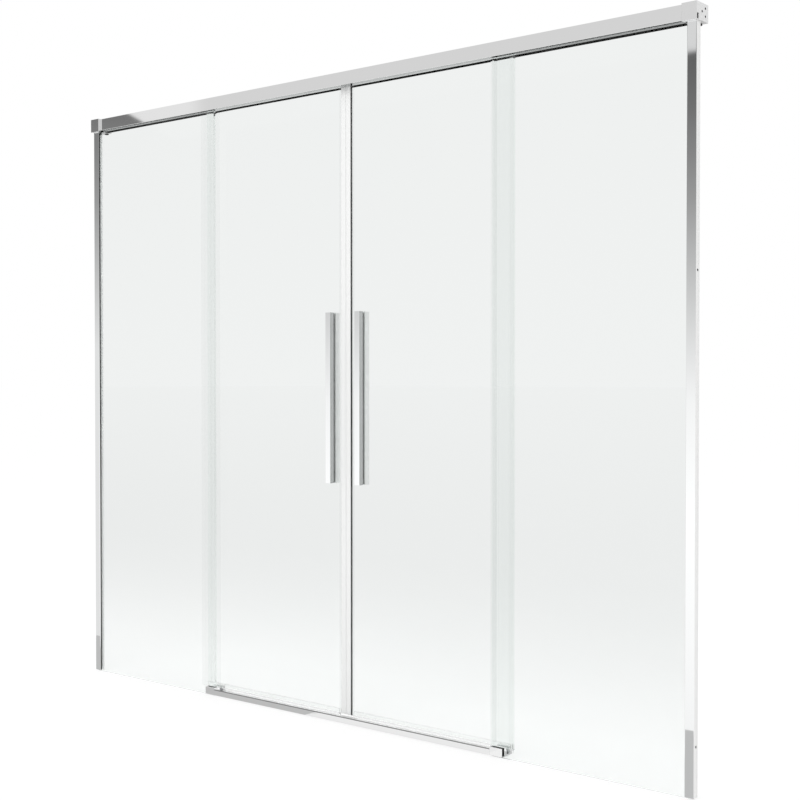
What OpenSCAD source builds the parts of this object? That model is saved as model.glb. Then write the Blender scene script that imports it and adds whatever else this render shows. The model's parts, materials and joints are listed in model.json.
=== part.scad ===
/* [Screen] */
// Overall width, from wall to wall
screen_w = 1800; // [1700:10:2000]
// Overall height, from the bath rim to the top of the end caps
screen_h = 1500; // [1350:10:2000]
// Clear width of the way through, between the seals on the fixed panes
opening_w = 848; // [800:2:880]
// How far each door's pane runs behind its fixed pane when it is shut
door_overlap = 42; // [40:1:60]

/* [Glass] */
// Thickness of the fixed panes
fixed_glass_t = 6; // [5:0.5:8]
// Thickness of the sliding panes
door_glass_t = 6; // [5:0.5:8]
// How far the fixed panes reach into the header
fixed_entry = 15; // [12:1:20]
// How far the sliding panes reach into the header
door_entry = 21; // [20:0.5:23]
// Height of the sliding panes' lower edge above the bath rim
door_lift = 17; // [16:0.5:20]

/* [Header] */
// Height of the header rail
header_h = 30; // [28:1:40]
// Wall of the header rail
header_wall = 2; // [1.5:0.1:2.5]
// Web between the pane groove and the roller chamber
header_web = 2; // [1:0.1:3]
// Thickness of the gaskets in front of the fixed panes
front_gasket_t = 3.5; // [2.5:0.1:5]
// Thickness of the gaskets behind the fixed panes
rear_gasket_t = 2.5; // [2:0.1:4]
// Height of the gaskets in the pane groove
gasket_h = 11; // [6:0.5:14]
// Width of the door slot behind the roller track
slot_w = 16; // [15:0.5:22]
// Thickness of the strip that covers the empty part of the pane groove
cover_t = 1.5; // [1:0.1:2]

/* [End caps] */
// Width of each end cap
cap_w = 31.5; // [28:0.5:45]
// How far an end cap stands in front of the header
cap_proud = 6; // [3:0.5:10]
// How far an end cap stands above the header
cap_above = 1; // [0.8:0.1:4]
// How far an end cap stands below the header
cap_below = 3; // [2:0.5:6]
// Wall of an end cap where it meets the room wall
cap_wall = 3; // [2:0.5:5]
// Radius of the screw holes in an end cap
cap_hole_r = 2.2; // [1.5:0.1:3]
// Height between the two rear screw holes of an end cap
cap_hole_rise = 15; // [10:0.5:18]
// Distance from the header's front to the two rear screw holes
cap_hole_rear = 29; // [26:0.5:34]
// Distance from the header's front to the single screw hole
cap_hole_front = 16; // [12:0.5:20]
// Depth of the moulded notch at the lower front of an end cap
notch_d = 8; // [5:0.5:10]
// Height of the moulded notch
notch_h = 12; // [6:0.5:14]
// Radius of the screw under each end cap
cap_screw_r = 2; // [1.5:0.1:2.5]

/* [Wall profiles] */
// Width of the visible face of a wall profile
profile_face = 20.6; // [16:0.2:30]
// Wall of a wall profile
profile_wall = 2; // [1.5:0.1:2.5]
// How far a wall profile's back stands in from the end cap's wall face
profile_inset = 3; // [1:0.5:4]
// Thickness of the gasket in front of a pane in a wall profile
profile_front_t = 2.5; // [1.5:0.1:3]
// Thickness of the gasket behind a pane in a wall profile
profile_rear_t = 2; // [1.5:0.1:3]
// Width of those gaskets
profile_gasket_w = 9; // [5:0.5:11]
// Radius of the front corners of a wall profile
profile_corner_r = 1.5; // [0.5:0.1:2]
// Gap between a wall profile's top and the end cap
profile_top_gap = 4; // [1:0.5:8]
// Height of a wall profile's lower end above the bath rim
profile_foot = 3; // [1:0.5:6]
// Gap between a pane's outer edge and the wall profile's back
pane_edge_gap = 2.5; // [1:0.5:5]
// Radius of a wall profile's screw holes
profile_hole_r = 2.5; // [1.5:0.1:3]
// Height of the lower screw hole
profile_hole_low = 100; // [60:5:300]
// Height between the lower and the upper screw hole
profile_hole_pitch = 900; // [500:10:1000]

/* [Overlap seals] */
// Thickness of the clip's wall in front of and behind the pane
overlap_wall = 2.5; // [1.5:0.1:2.5]
// Thickness of the clip's nose over the pane's edge
overlap_nose = 2; // [1:0.1:3]
// How far the clip grips the pane
overlap_grip = 13; // [8:0.5:18]
// Width of the strip behind the pane, from the pane's edge
overlap_strip_w = 52; // [40:1:60]
// Thickness of that strip
overlap_strip_t = 1.2; // [0.8:0.1:2]
// Thickness of the sealing fins
fin_t = 1.2; // [0.8:0.1:2]

/* [Threshold] */
// Thickness of the tape under the threshold
tape_t = 2.3; // [1:0.1:4]
// Height of the threshold's front lip
threshold_lip_h = 14.1; // [10:0.1:16]
// Thickness of the threshold's front lip
threshold_lip_t = 3; // [2:0.1:5]
// Thickness of the threshold's floor
threshold_floor_t = 2.2; // [1.5:0.1:2.5]
// Height of the threshold's rear edge above its floor
threshold_rear_h = 4; // [2:0.5:8]
// Thickness of the threshold's rear edge
threshold_rear_t = 1.8; // [1:0.1:2.5]
// Length of an end bracket beside the way through
bracket_len = 31; // [24:1:45]
// Height of an end bracket
bracket_h = 18; // [17:0.5:20]
// Thickness of an end bracket's front lip
bracket_lip_t = 3.5; // [3:0.1:4]
// Thickness of the gasket behind a fixed pane in an end bracket
bracket_rear_t = 1; // [0.6:0.1:2]

/* [Bottom guides] */
// Wall of a bottom guide's two cheeks
guide_wall = 2; // [1.5:0.1:2.5]
// Thickness of a bottom guide's floor
guide_floor = 1.5; // [1:0.1:2]
// Height of a bottom guide
guide_h = 13; // [10:0.5:14]

/* [Door seals] */
// Wall of the clips on the sliding panes
clip_wall = 1.2; // [0.8:0.1:1.5]
// Thickness of the wiper's base under a sliding pane
wiper_base = 2; // [1:0.1:2.5]
// How far the bottom wiper grips the pane
wiper_grip = 10; // [8:0.5:16]
// Height of the wiper's lip above the floor of the bottom guides
wiper_lip_gap = 3; // [1:0.1:4]
// Width of the meeting seal's nose
nose_w = 13.2; // [10:0.1:16]
// How far the meeting seal grips the pane
meeting_grip = 6.5; // [5:0.5:10]
// Thickness of the dark gasket on a sliding pane's inner edge
edge_gasket_t = 1; // [0.6:0.1:2]
// How far the outer edge seal grips the pane
edge_grip = 11; // [6:0.5:14]
// Width of each magnetic strip
magnet_w = 3; // [2:0.1:5]
// Depth of each magnetic strip
magnet_d = 7; // [5:0.1:7.4]

/* [Handles] */
// Length of a handle
handle_len = 396; // [250:5:600]
// Width of a handle
handle_w = 15; // [12:0.5:22]
// Depth of the bar on the room side
outer_bar_d = 12; // [10:0.5:14]
// Depth of the bar on the bath side
inner_bar_d = 15; // [12:0.5:20]
// Thickness of the gasket under the bar on the room side
outer_pad_t = 2; // [1:0.1:3]
// Thickness of the gasket under the bar on the bath side
inner_pad_t = 1; // [0.5:0.1:2]
// How far the gaskets stay back from a bar's edges
pad_inset = 0.8; // [0.3:0.1:1.5]
// Distance from the middle of the screen to a handle's centre line
handle_x = 45; // [38:1:60]
// Height of the middle of the handles
handle_z = 751; // [600:1:1000]
// Distance from a handle's end to its studs
handle_fix = 25; // [16:0.5:40]
// Radius of a handle's studs
stud_r = 3; // [2:0.1:3.5]
// How far a stud reaches into each bar
stud_entry = 8; // [5:0.5:9]
// Wall of the bush around a stud
bush_wall = 1; // [0.6:0.1:1.5]

/* [Rollers] */
// Radius over the flanges of a roller
wheel_r = 9; // [8.5:0.1:9.5]
// Width of a roller
wheel_w = 5.2; // [4.6:0.1:7]
// Depth of a roller's running groove
wheel_groove = 1.5; // [1:0.1:2]
// Width of the rail under the rollers
rail_w = 2.4; // [1.6:0.1:2.6]
// Height of the rail under the rollers
rail_h = 3.5; // [2.5:0.1:3.8]
// Radius of a roller's axle
axle_r = 3; // [2.5:0.1:4]
// Radius of an axle's head
axle_head_r = 4.5; // [4.2:0.1:6]
// Thickness of an axle's head
axle_head_t = 0.5; // [0.4:0.1:1]
// Length of a hanger
hanger_len = 50; // [44:1:70]
// Height of a hanger
hanger_h = 21; // [19:0.5:22]
// Thickness of a hanger's plate
hanger_t = 1.5; // [1.2:0.1:3]
// Thickness of the clamp plate behind the glass
clamp_t = 2; // [1.5:0.1:3]
// Distance between a hanger's two clamp screws
clamp_pitch = 34; // [30:1:38]
// Radius of a clamp screw
clamp_screw_r = 2.5; // [1.5:0.1:3]
// Radius of a clamp screw's head
clamp_head_r = 4; // [3.5:0.1:5]
// Height of a clamp screw's head
clamp_head_h = 1.7; // [1:0.1:2.5]
// Distance from a door's inner edge to the middle of its inner hanger
hanger_inner = 90; // [60:5:150]
// Distance from a door's outer edge to the middle of its outer hanger
hanger_outer = 85; // [50:5:150]
// How far each door slides
door_travel = 355; // [250:5:355]
// Length of a rubber end stop
stop_len = 18; // [8:1:30]

/* [Clearances] */
// Half of the gap between the two shut doors
shut_gap = 0.3; // [0.2:0.1:1]
// Gap between pieces that slide past each other
slide_gap = 0.4; // [0.3:0.05:0.6]
// Gap between a roller and its rail
roll_gap = 0.2; // [0.1:0.05:0.3]
// Gap at each end of a roller on its axle
end_gap = 0.1; // [0.05:0.05:0.2]
// Radial running gap between a roller and its axle
axle_gap = 0.05; // [0.02:0.01:0.1]
// Gap between a fitted piece and its seat
fit_gap = 0.2; // [0.1:0.05:0.3]

/* [Hidden] */
$fn = 64;
eps = 0.01;
LEFT = -1;
RIGHT = 1;

// Depths, counted from the header's front face towards the bath
pane_y = header_wall + front_gasket_t;
pane_back_y = pane_y + fixed_glass_t;
web_y = pane_back_y + rear_gasket_t;
chamber_y = web_y + header_web;
wheel_y = chamber_y + slide_gap + axle_head_t;
wheel_back_y = wheel_y + wheel_w;
hanger_y = wheel_back_y + slide_gap;
door_y = hanger_y + hanger_t;
door_back_y = door_y + door_glass_t;
door_mid_y = door_y + door_glass_t / 2;
clamp_back_y = door_back_y + clamp_t;
track_edge_gap = 1;
track_back_y = door_y - track_edge_gap;
rear_wall_y = track_back_y + slot_w;
header_d = rear_wall_y + header_wall;
inner_bar_y = door_back_y + inner_pad_t;
outer_bar_back_y = door_y - outer_pad_t;
total_d = cap_proud + max(header_d, inner_bar_y + inner_bar_d);
front_y = cap_proud - total_d / 2;

// Heights
header_top = screen_h - cap_above;
header_z = header_top - header_h;
header_mid_z = header_z + header_h / 2;
ceiling_z = header_top - header_wall;
cap_z = header_z - cap_below;
fixed_top = header_z + fixed_entry;
door_top = header_z + door_entry;
track_z = header_z + header_wall;
rail_z = track_z + rail_h;
tread_r = wheel_r - wheel_groove;
wheel_z = rail_z + roll_gap + tread_r;
hanger_lift = 1.5;
hanger_z = track_z + hanger_lift;
clamp_drop = 10;
clamp_z = door_top - clamp_drop;
profile_top = cap_z - profile_top_gap;
seal_drop = 2;
seal_top = header_z - seal_drop;
lip_top = tape_t + threshold_lip_h;
floor_top = tape_t + threshold_floor_t;
bracket_top = tape_t + bracket_h;

// Widths, counted from the middle of the screen
half_w = screen_w / 2;
cap_x = half_w - cap_w;
rail_end_x = half_w - cap_wall;
profile_x = half_w - profile_inset;
profile_mouth_x = profile_x - profile_face;
bracket_x = opening_w / 2;
pane_x = bracket_x + overlap_nose;
pane_outer_x = profile_x - profile_wall - pane_edge_gap;
bracket_outer_x = bracket_x + bracket_len;
nose_x = shut_gap + nose_w;
door_x = nose_x + edge_gasket_t;
door_outer_x = pane_x + door_overlap;
hanger_xs = [door_x + hanger_inner, door_outer_x - hanger_outer];
stop_x = hanger_xs[1] + hanger_len / 2 + door_travel + slide_gap;

// Door seals
clip_y = door_y - clip_wall;
clip_d = door_glass_t + 2 * clip_wall;
wiper_z = door_lift - wiper_base;
wiper_top = door_lift + wiper_grip;
lip_z = floor_top + guide_floor + wiper_lip_gap;
guide_in_w = clip_d + 2 * slide_gap;
guide_y = door_mid_y - guide_in_w / 2 - guide_wall;
guide_w = guide_in_w + 2 * guide_wall;

// Handles
handle_low = handle_z - handle_len / 2;
handle_high = handle_z + handle_len / 2;
stud_zs = [handle_low + handle_fix, handle_high - handle_fix];
bush_r = stud_r + bush_wall;

// Details that are the same at every size
notch_inset = 1.5;
tape_inset = 3;
rivet_r = 2;

// Holes in the end caps, as depth and height pairs
cap_holes = [
    [cap_hole_rear, header_mid_z - cap_hole_rise / 2],
    [cap_hole_rear, header_mid_z + cap_hole_rise / 2],
    [cap_hole_front, header_mid_z]
];
profile_holes = [profile_hole_low, profile_hole_low + profile_hole_pitch];

// Moves shapes drawn from the header's front face into the frame
module place() {
    translate([0, front_y, 0])
        children();
}

// Draws a right-hand piece, or its mirror image for the left
module side(s) {
    mirror([s < 0 ? 1 : 0, 0, 0])
        children();
}

// A block from its lowest to its highest corner
module block(low, high) {
    translate(low)
        cube(high - low);
}

// Extrudes a depth and height outline along the width
module along_x(from_x, to_x) {
    translate([from_x, 0, 0])
        rotate([90, 0, 90])
            linear_extrude(to_x - from_x)
                children();
}

// Extrudes a width and depth outline upwards
module upright(from_z, to_z) {
    translate([0, 0, from_z])
        linear_extrude(to_z - from_z)
            children();
}

// A rectangle in an outline, from its lowest to its highest corner
module plate(low, high) {
    translate(low)
        square(high - low);
}

// A cylinder along the depth
module pin_y(x, from_y, to_y, z, r) {
    translate([x, from_y, z])
        rotate([-90, 0, 0])
            cylinder(r = r, h = to_y - from_y);
}

// A cylinder along the width
module pin_x(from_x, to_x, y, z, r) {
    translate([from_x, y, z])
        rotate([0, 90, 0])
            cylinder(r = r, h = to_x - from_x);
}

// Header rail

module header_outline() {
    rail_mid_y = wheel_y + wheel_w / 2;
    plate([0, header_z], [header_wall, header_top]);
    plate([0, ceiling_z], [header_d, header_top]);
    plate([rear_wall_y, header_z], [header_d, header_top]);
    plate([web_y, header_z], [chamber_y, ceiling_z + eps]);
    plate([web_y, header_z], [track_back_y, track_z]);
    plate([rail_mid_y - rail_w / 2, header_z], [rail_mid_y + rail_w / 2, rail_z - rail_w / 2]);
    translate([rail_mid_y, rail_z - rail_w / 2])
        circle(r = rail_w / 2);
}

module header_rail() {
    color("gainsboro")
        place()
            along_x(-rail_end_x + fit_gap, rail_end_x - fit_gap)
                header_outline();
}

module header_cover_strip() {
    color("silver")
        place()
            along_x(-bracket_x + fit_gap, bracket_x - fit_gap) {
                plate([header_wall, header_z], [web_y, header_z + cover_t]);
                plate([header_wall, header_z], [header_wall + cover_t, header_z + gasket_h]);
                plate([web_y - cover_t, header_z], [web_y, header_z + gasket_h]);
            }
}

module header_gaskets(from_y, to_y) {
    place()
        for (s = [LEFT, RIGHT])
            side(s)
                block([pane_x + overlap_grip + fit_gap, from_y, header_z],
                    [cap_x - fit_gap, to_y, header_z + gasket_h]);
}

module header_front_gaskets() {
    color("black")
        header_gaskets(header_wall, pane_y);
}

module header_rear_gaskets() {
    color("lightgray")
        header_gaskets(pane_back_y, web_y);
}

module track_end_stops() {
    color("black")
        place()
            for (s = [LEFT, RIGHT])
                side(s)
                    block([stop_x, door_back_y + slide_gap, hanger_z], [stop_x + stop_len, rear_wall_y, ceiling_z]);
}

// End caps

module end_cap(s) {
    notch_y = -cap_proud + notch_inset;
    color("gainsboro")
        place()
            side(s)
                difference() {
                    block([cap_x, -cap_proud, cap_z], [half_w, header_d, screen_h]);
                    block([cap_x - 1, -fit_gap / 2, header_z - fit_gap / 2],
                        [rail_end_x, header_d + 1, header_top + fit_gap / 2]);
                    block([cap_x - 1, header_wall, cap_z - 1], [pane_outer_x + fit_gap, web_y, header_z + 1]);
                    block([rail_end_x, notch_y, cap_z - 1], [half_w + 1, notch_y + notch_d, cap_z + notch_h]);
                    for (p = cap_holes)
                        pin_x(rail_end_x - 1, half_w + 1, p[0], p[1], cap_hole_r);
                    cap_screw(cap_z - 1, header_z, cap_screw_r);
                }
}

module cap_screw(from_z, to_z, r) {
    translate([cap_x + cap_w / 2, rear_wall_y - cap_screw_r - fit_gap, from_z])
        cylinder(r = r, h = to_z - from_z);
}

module header_end_cap_left() {
    end_cap(LEFT);
}

module header_end_cap_right() {
    end_cap(RIGHT);
}

module cap_screws() {
    color("dimgray")
        place()
            for (s = [LEFT, RIGHT])
                side(s)
                    cap_screw(cap_z, header_z - fit_gap / 2, cap_screw_r - eps);
}

// Wall profiles

module wall_profile_outline() {
    front = pane_y - profile_front_t - profile_wall;
    back = pane_back_y + profile_rear_t + profile_wall;
    r = profile_corner_r;
    difference() {
        union() {
            plate([profile_mouth_x + r, front], [profile_x - r, back]);
            plate([profile_mouth_x, front + r], [profile_x, back]);
            for (x = [profile_mouth_x + r, profile_x - r])
                translate([x, front + r])
                    circle(r = r);
        }
        plate([profile_mouth_x - 1, front + profile_wall], [profile_x - profile_wall, back - profile_wall]);
    }
}

module wall_profile(s) {
    color("silver")
        place()
            side(s)
                difference() {
                    upright(profile_foot, profile_top)
                        wall_profile_outline();
                    for (z = profile_holes)
                        pin_x(profile_x - profile_wall - 1, profile_x + 1, pane_y + fixed_glass_t / 2, z,
                            profile_hole_r);
                }
}

module wall_profile_left() {
    wall_profile(LEFT);
}

module wall_profile_right() {
    wall_profile(RIGHT);
}

module wall_profile_gaskets() {
    from_x = profile_mouth_x + profile_wall / 2;
    color("dimgray")
        place()
            for (s = [LEFT, RIGHT])
                side(s) {
                    block([from_x, pane_y - profile_front_t, profile_foot],
                        [from_x + profile_gasket_w, pane_y, profile_top - seal_drop]);
                    block([from_x, pane_back_y, profile_foot],
                        [from_x + profile_gasket_w, pane_back_y + profile_rear_t, profile_top - seal_drop]);
                }
}

// Fixed panes and their overlap seals

module fixed_glass(s) {
    color("lightcyan", 0.4)
        place()
            side(s)
                block([pane_x, pane_y, 0], [pane_outer_x, pane_back_y, fixed_top]);
}

module fixed_glass_left() {
    fixed_glass(LEFT);
}

module fixed_glass_right() {
    fixed_glass(RIGHT);
}

module overlap_seal(s) {
    clip_back_y = pane_back_y + min(overlap_wall, rear_gasket_t);
    color("whitesmoke", 0.6)
        place()
            side(s) {
                upright(bracket_top, header_z + gasket_h)
                    difference() {
                        plate([bracket_x, pane_y - overlap_wall], [pane_x + overlap_grip, clip_back_y]);
                        plate([pane_x, pane_y], [pane_x + overlap_grip + 1, pane_back_y]);
                    }
                block([pane_x + overlap_grip - eps, pane_back_y, bracket_top],
                    [pane_x + overlap_strip_w, pane_back_y + overlap_strip_t, header_z - fit_gap]);
                block([bracket_x, clip_back_y - eps, wiper_top + slide_gap],
                    [bracket_x + fin_t, door_y - slide_gap, seal_top]);
            }
}

module overlap_seal_left() {
    overlap_seal(LEFT);
}

module overlap_seal_right() {
    overlap_seal(RIGHT);
}

// Threshold

module threshold_rail() {
    color("silver")
        place()
            along_x(-bracket_x, bracket_x) {
                plate([0, tape_t], [threshold_lip_t, lip_top]);
                plate([0, tape_t], [rear_wall_y, floor_top]);
                plate([rear_wall_y - threshold_rear_t, tape_t], [rear_wall_y, floor_top + threshold_rear_h]);
            }
}

module threshold_tape() {
    color("white")
        place()
            block([-bracket_outer_x + tape_inset, pane_back_y + tape_inset, 0],
                [bracket_outer_x - tape_inset, rear_wall_y - tape_inset, tape_t]);
}

module end_bracket(s) {
    color("silver")
        place()
            side(s)
                difference() {
                    block([bracket_x, 0, tape_t], [bracket_outer_x, header_d, bracket_top]);
                    block([pane_x, bracket_lip_t, tape_t - 1],
                        [bracket_outer_x + 1, pane_back_y + bracket_rear_t, bracket_top + 1]);
                    block([bracket_x - 1, guide_y - eps, floor_top],
                        [bracket_outer_x + 1, guide_y + guide_w + eps, bracket_top + 1]);
                }
}

module end_bracket_left() {
    end_bracket(LEFT);
}

module end_bracket_right() {
    end_bracket(RIGHT);
}

module bracket_gaskets() {
    color("black")
        place()
            for (s = [LEFT, RIGHT])
                side(s) {
                    block([pane_x, bracket_lip_t, tape_t], [bracket_outer_x, pane_y, bracket_top]);
                    block([pane_x, pane_back_y, tape_t],
                        [bracket_outer_x, pane_back_y + bracket_rear_t, bracket_top]);
                }
}

// Bottom guides

module bottom_guide(s) {
    tip_r = guide_wall / 2;
    color("gray")
        place()
            side(s)
                along_x(bracket_x, bracket_outer_x) {
                    plate([guide_y, floor_top], [guide_y + guide_w, floor_top + guide_floor]);
                    for (y = [guide_y, guide_y + guide_w - guide_wall]) {
                        plate([y, floor_top], [y + guide_wall, floor_top + guide_h - tip_r]);
                        translate([y + tip_r, floor_top + guide_h - tip_r])
                            circle(r = tip_r);
                    }
                }
}

module bottom_guide_left() {
    bottom_guide(LEFT);
}

module bottom_guide_right() {
    bottom_guide(RIGHT);
}

// Sliding panes

module door_glass(s) {
    color("lightcyan", 0.4)
        place()
            side(s)
                difference() {
                    block([door_x, door_y, door_lift], [door_outer_x, door_back_y, door_top]);
                    for (x = hanger_xs, dx = [-clamp_pitch / 2, clamp_pitch / 2])
                        pin_y(x + dx, door_y - 1, door_back_y + 1, clamp_z, clamp_screw_r + fit_gap);
                    for (z = stud_zs)
                        pin_y(handle_x, door_y - 1, door_back_y + 1, z, bush_r + fit_gap);
                }
}

module door_glass_left() {
    door_glass(LEFT);
}

module door_glass_right() {
    door_glass(RIGHT);
}

// Seals on the doors

module meeting_seal(s) {
    color("whitesmoke", 0.6)
        place()
            side(s)
                upright(door_lift, seal_top)
                    difference() {
                        plate([shut_gap, clip_y], [door_x + meeting_grip, clip_y + clip_d]);
                        plate([nose_x, door_y], [door_x + meeting_grip + 1, door_back_y]);
                        plate([shut_gap - 1, door_mid_y - magnet_d / 2],
                            [shut_gap + magnet_w, door_mid_y + magnet_d / 2]);
                    }
}

module meeting_seal_left() {
    meeting_seal(LEFT);
}

module meeting_seal_right() {
    meeting_seal(RIGHT);
}

module magnet_strip(s) {
    color("white")
        place()
            side(s)
                block([shut_gap, door_mid_y - magnet_d / 2, door_lift],
                    [shut_gap + magnet_w, door_mid_y + magnet_d / 2, seal_top]);
}

module magnet_strip_left() {
    magnet_strip(LEFT);
}

module magnet_strip_right() {
    magnet_strip(RIGHT);
}

module edge_gasket(s) {
    color("dimgray")
        place()
            side(s)
                block([nose_x, door_y, door_lift], [door_x, door_back_y, seal_top]);
}

module edge_gasket_left() {
    edge_gasket(LEFT);
}

module edge_gasket_right() {
    edge_gasket(RIGHT);
}

module bottom_wiper(s) {
    color("whitesmoke", 0.6)
        place()
            side(s)
                along_x(door_x + meeting_grip + fit_gap, door_outer_x) {
                    difference() {
                        plate([clip_y, wiper_z], [clip_y + clip_d, wiper_top]);
                        plate([door_y, door_lift], [door_back_y, wiper_top + 1]);
                    }
                    plate([door_mid_y - fin_t / 2, lip_z], [door_mid_y + fin_t / 2, wiper_z + eps]);
                }
}

module bottom_wiper_left() {
    bottom_wiper(LEFT);
}

module bottom_wiper_right() {
    bottom_wiper(RIGHT);
}

module door_edge_seal(s) {
    color("whitesmoke", 0.6)
        place()
            side(s)
                upright(wiper_top + fit_gap, seal_top) {
                    difference() {
                        plate([door_outer_x - edge_grip, clip_y], [door_outer_x + clip_wall, clip_y + clip_d]);
                        plate([door_outer_x - edge_grip - 1, door_y], [door_outer_x, door_back_y]);
                    }
                    plate([door_outer_x + clip_wall - fin_t, pane_back_y + overlap_strip_t + slide_gap],
                        [door_outer_x + clip_wall, clip_y + eps]);
                }
}

module door_edge_seal_left() {
    door_edge_seal(LEFT);
}

module door_edge_seal_right() {
    door_edge_seal(RIGHT);
}

// Handles

module handle_block(s, inset, from_y, to_y) {
    w = handle_w / 2 - inset;
    place()
        side(s)
            block([handle_x - w, from_y, handle_low + inset], [handle_x + w, to_y, handle_high - inset]);
}

module stud_cores(s, from_y, to_y, r) {
    place()
        side(s)
            for (z = stud_zs)
                pin_y(handle_x, from_y, to_y, z, r);
}

module handle_outer_bar(s) {
    color("gainsboro")
        difference() {
            handle_block(s, 0, outer_bar_back_y - outer_bar_d, outer_bar_back_y);
            stud_cores(s, outer_bar_back_y - stud_entry, outer_bar_back_y + 1, stud_r);
        }
}

module handle_inner_bar(s) {
    color("gainsboro")
        difference() {
            handle_block(s, 0, inner_bar_y, inner_bar_y + inner_bar_d);
            stud_cores(s, inner_bar_y - 1, inner_bar_y + stud_entry, stud_r);
        }
}

module handle_gaskets(s) {
    color("dimgray")
        difference() {
            union() {
                handle_block(s, pad_inset, outer_bar_back_y, door_y);
                handle_block(s, pad_inset, door_back_y, inner_bar_y);
            }
            stud_cores(s, outer_bar_back_y - 1, inner_bar_y + 1, bush_r + fit_gap);
        }
}

module handle_bushes(s) {
    color("black")
        difference() {
            stud_cores(s, outer_bar_back_y, inner_bar_y, bush_r);
            stud_cores(s, outer_bar_back_y - 1, inner_bar_y + 1, stud_r);
        }
}

module handle_studs(s) {
    color("silver")
        stud_cores(s, outer_bar_back_y - stud_entry, inner_bar_y + stud_entry, stud_r - eps);
}

module handle_outer_bar_left() {
    handle_outer_bar(LEFT);
}

module handle_outer_bar_right() {
    handle_outer_bar(RIGHT);
}

module handle_inner_bar_left() {
    handle_inner_bar(LEFT);
}

module handle_inner_bar_right() {
    handle_inner_bar(RIGHT);
}

module handle_gaskets_left() {
    handle_gaskets(LEFT);
}

module handle_gaskets_right() {
    handle_gaskets(RIGHT);
}

module handle_bushes_left() {
    handle_bushes(LEFT);
}

module handle_bushes_right() {
    handle_bushes(RIGHT);
}

module handle_studs_left() {
    handle_studs(LEFT);
}

module handle_studs_right() {
    handle_studs(RIGHT);
}

// Hangers, clamp plates and rollers

module hanger_plates(s, from_y, to_y) {
    place()
        side(s)
            difference() {
                for (x = hanger_xs)
                    block([x - hanger_len / 2, from_y, hanger_z], [x + hanger_len / 2, to_y, hanger_z + hanger_h]);
                for (x = hanger_xs, dx = [-clamp_pitch / 2, clamp_pitch / 2])
                    pin_y(x + dx, from_y - 1, to_y + 1, clamp_z, clamp_screw_r);
            }
}

module axle_pins(s, from_y, to_y, r) {
    place()
        side(s)
            for (x = hanger_xs)
                pin_y(x, from_y, to_y, wheel_z, r);
}

module hangers(s) {
    color("silver")
        difference() {
            hanger_plates(s, hanger_y, door_y);
            axle_pins(s, hanger_y - 1, door_y + 1, rivet_r);
        }
}

module clamp_plates(s) {
    color("silver")
        hanger_plates(s, door_back_y, clamp_back_y);
}

module clamp_screws(s) {
    socket_r = clamp_head_r / 2;
    head_y = clamp_back_y + clamp_head_h;
    color("dimgray")
        place()
            side(s)
                for (x = hanger_xs, dx = [-clamp_pitch / 2, clamp_pitch / 2]) {
                    pin_y(x + dx, hanger_y, clamp_back_y + eps, clamp_z, clamp_screw_r - eps);
                    difference() {
                        pin_y(x + dx, clamp_back_y, head_y, clamp_z, clamp_head_r);
                        pin_y(x + dx, head_y - clamp_head_h / 2, head_y + 1, clamp_z, socket_r);
                    }
                }
}

module roller_axles(s) {
    color("dimgray") {
        axle_pins(s, wheel_y - axle_head_t - end_gap, wheel_y - end_gap, axle_head_r);
        axle_pins(s, wheel_y - end_gap - eps, hanger_y, axle_r);
        axle_pins(s, hanger_y - eps, door_y, rivet_r - eps);
    }
}

module roller(s, x) {
    half_wheel = wheel_w / 2;
    half_groove = rail_w / 2 + slide_gap;
    bore_r = axle_r + axle_gap;
    color("white")
        place()
            side(s)
                translate([x, wheel_y + half_wheel, wheel_z])
                    rotate([90, 0, 0])
                        rotate_extrude()
                            polygon([
                                [bore_r, -half_wheel],
                                [wheel_r, -half_wheel],
                                [wheel_r, -half_groove],
                                [tread_r, -half_groove],
                                [tread_r, half_groove],
                                [wheel_r, half_groove],
                                [wheel_r, half_wheel],
                                [bore_r, half_wheel]
                            ]);
}

module hangers_left() {
    hangers(LEFT);
}

module hangers_right() {
    hangers(RIGHT);
}

module clamp_plates_left() {
    clamp_plates(LEFT);
}

module clamp_plates_right() {
    clamp_plates(RIGHT);
}

module clamp_screws_left() {
    clamp_screws(LEFT);
}

module clamp_screws_right() {
    clamp_screws(RIGHT);
}

module roller_axles_left() {
    roller_axles(LEFT);
}

module roller_axles_right() {
    roller_axles(RIGHT);
}

module roller_left_inner() {
    roller(LEFT, hanger_xs[0]);
}

module roller_left_outer() {
    roller(LEFT, hanger_xs[1]);
}

module roller_right_inner() {
    roller(RIGHT, hanger_xs[0]);
}

module roller_right_outer() {
    roller(RIGHT, hanger_xs[1]);
}

header_rail();
header_cover_strip();
header_end_cap_left();
header_end_cap_right();
cap_screws();
header_front_gaskets();
header_rear_gaskets();
track_end_stops();
wall_profile_left();
wall_profile_right();
wall_profile_gaskets();
fixed_glass_left();
fixed_glass_right();
overlap_seal_left();
overlap_seal_right();
threshold_rail();
threshold_tape();
end_bracket_left();
end_bracket_right();
bracket_gaskets();
bottom_guide_left();
bottom_guide_right();
door_glass_left();
meeting_seal_left();
magnet_strip_left();
edge_gasket_left();
bottom_wiper_left();
door_edge_seal_left();
handle_outer_bar_left();
handle_inner_bar_left();
handle_gaskets_left();
handle_bushes_left();
handle_studs_left();
hangers_left();
clamp_plates_left();
clamp_screws_left();
roller_axles_left();
door_glass_right();
meeting_seal_right();
magnet_strip_right();
edge_gasket_right();
bottom_wiper_right();
door_edge_seal_right();
handle_outer_bar_right();
handle_inner_bar_right();
handle_gaskets_right();
handle_bushes_right();
handle_studs_right();
hangers_right();
clamp_plates_right();
clamp_screws_right();
roller_axles_right();
roller_left_inner();
roller_left_outer();
roller_right_inner();
roller_right_outer();
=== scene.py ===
"""Dresses the sliding bath screen: metal, glass, seals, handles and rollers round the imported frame."""

import json
import logging
import math
from collections.abc import Callable, Sequence
from dataclasses import dataclass
from enum import Enum

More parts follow.
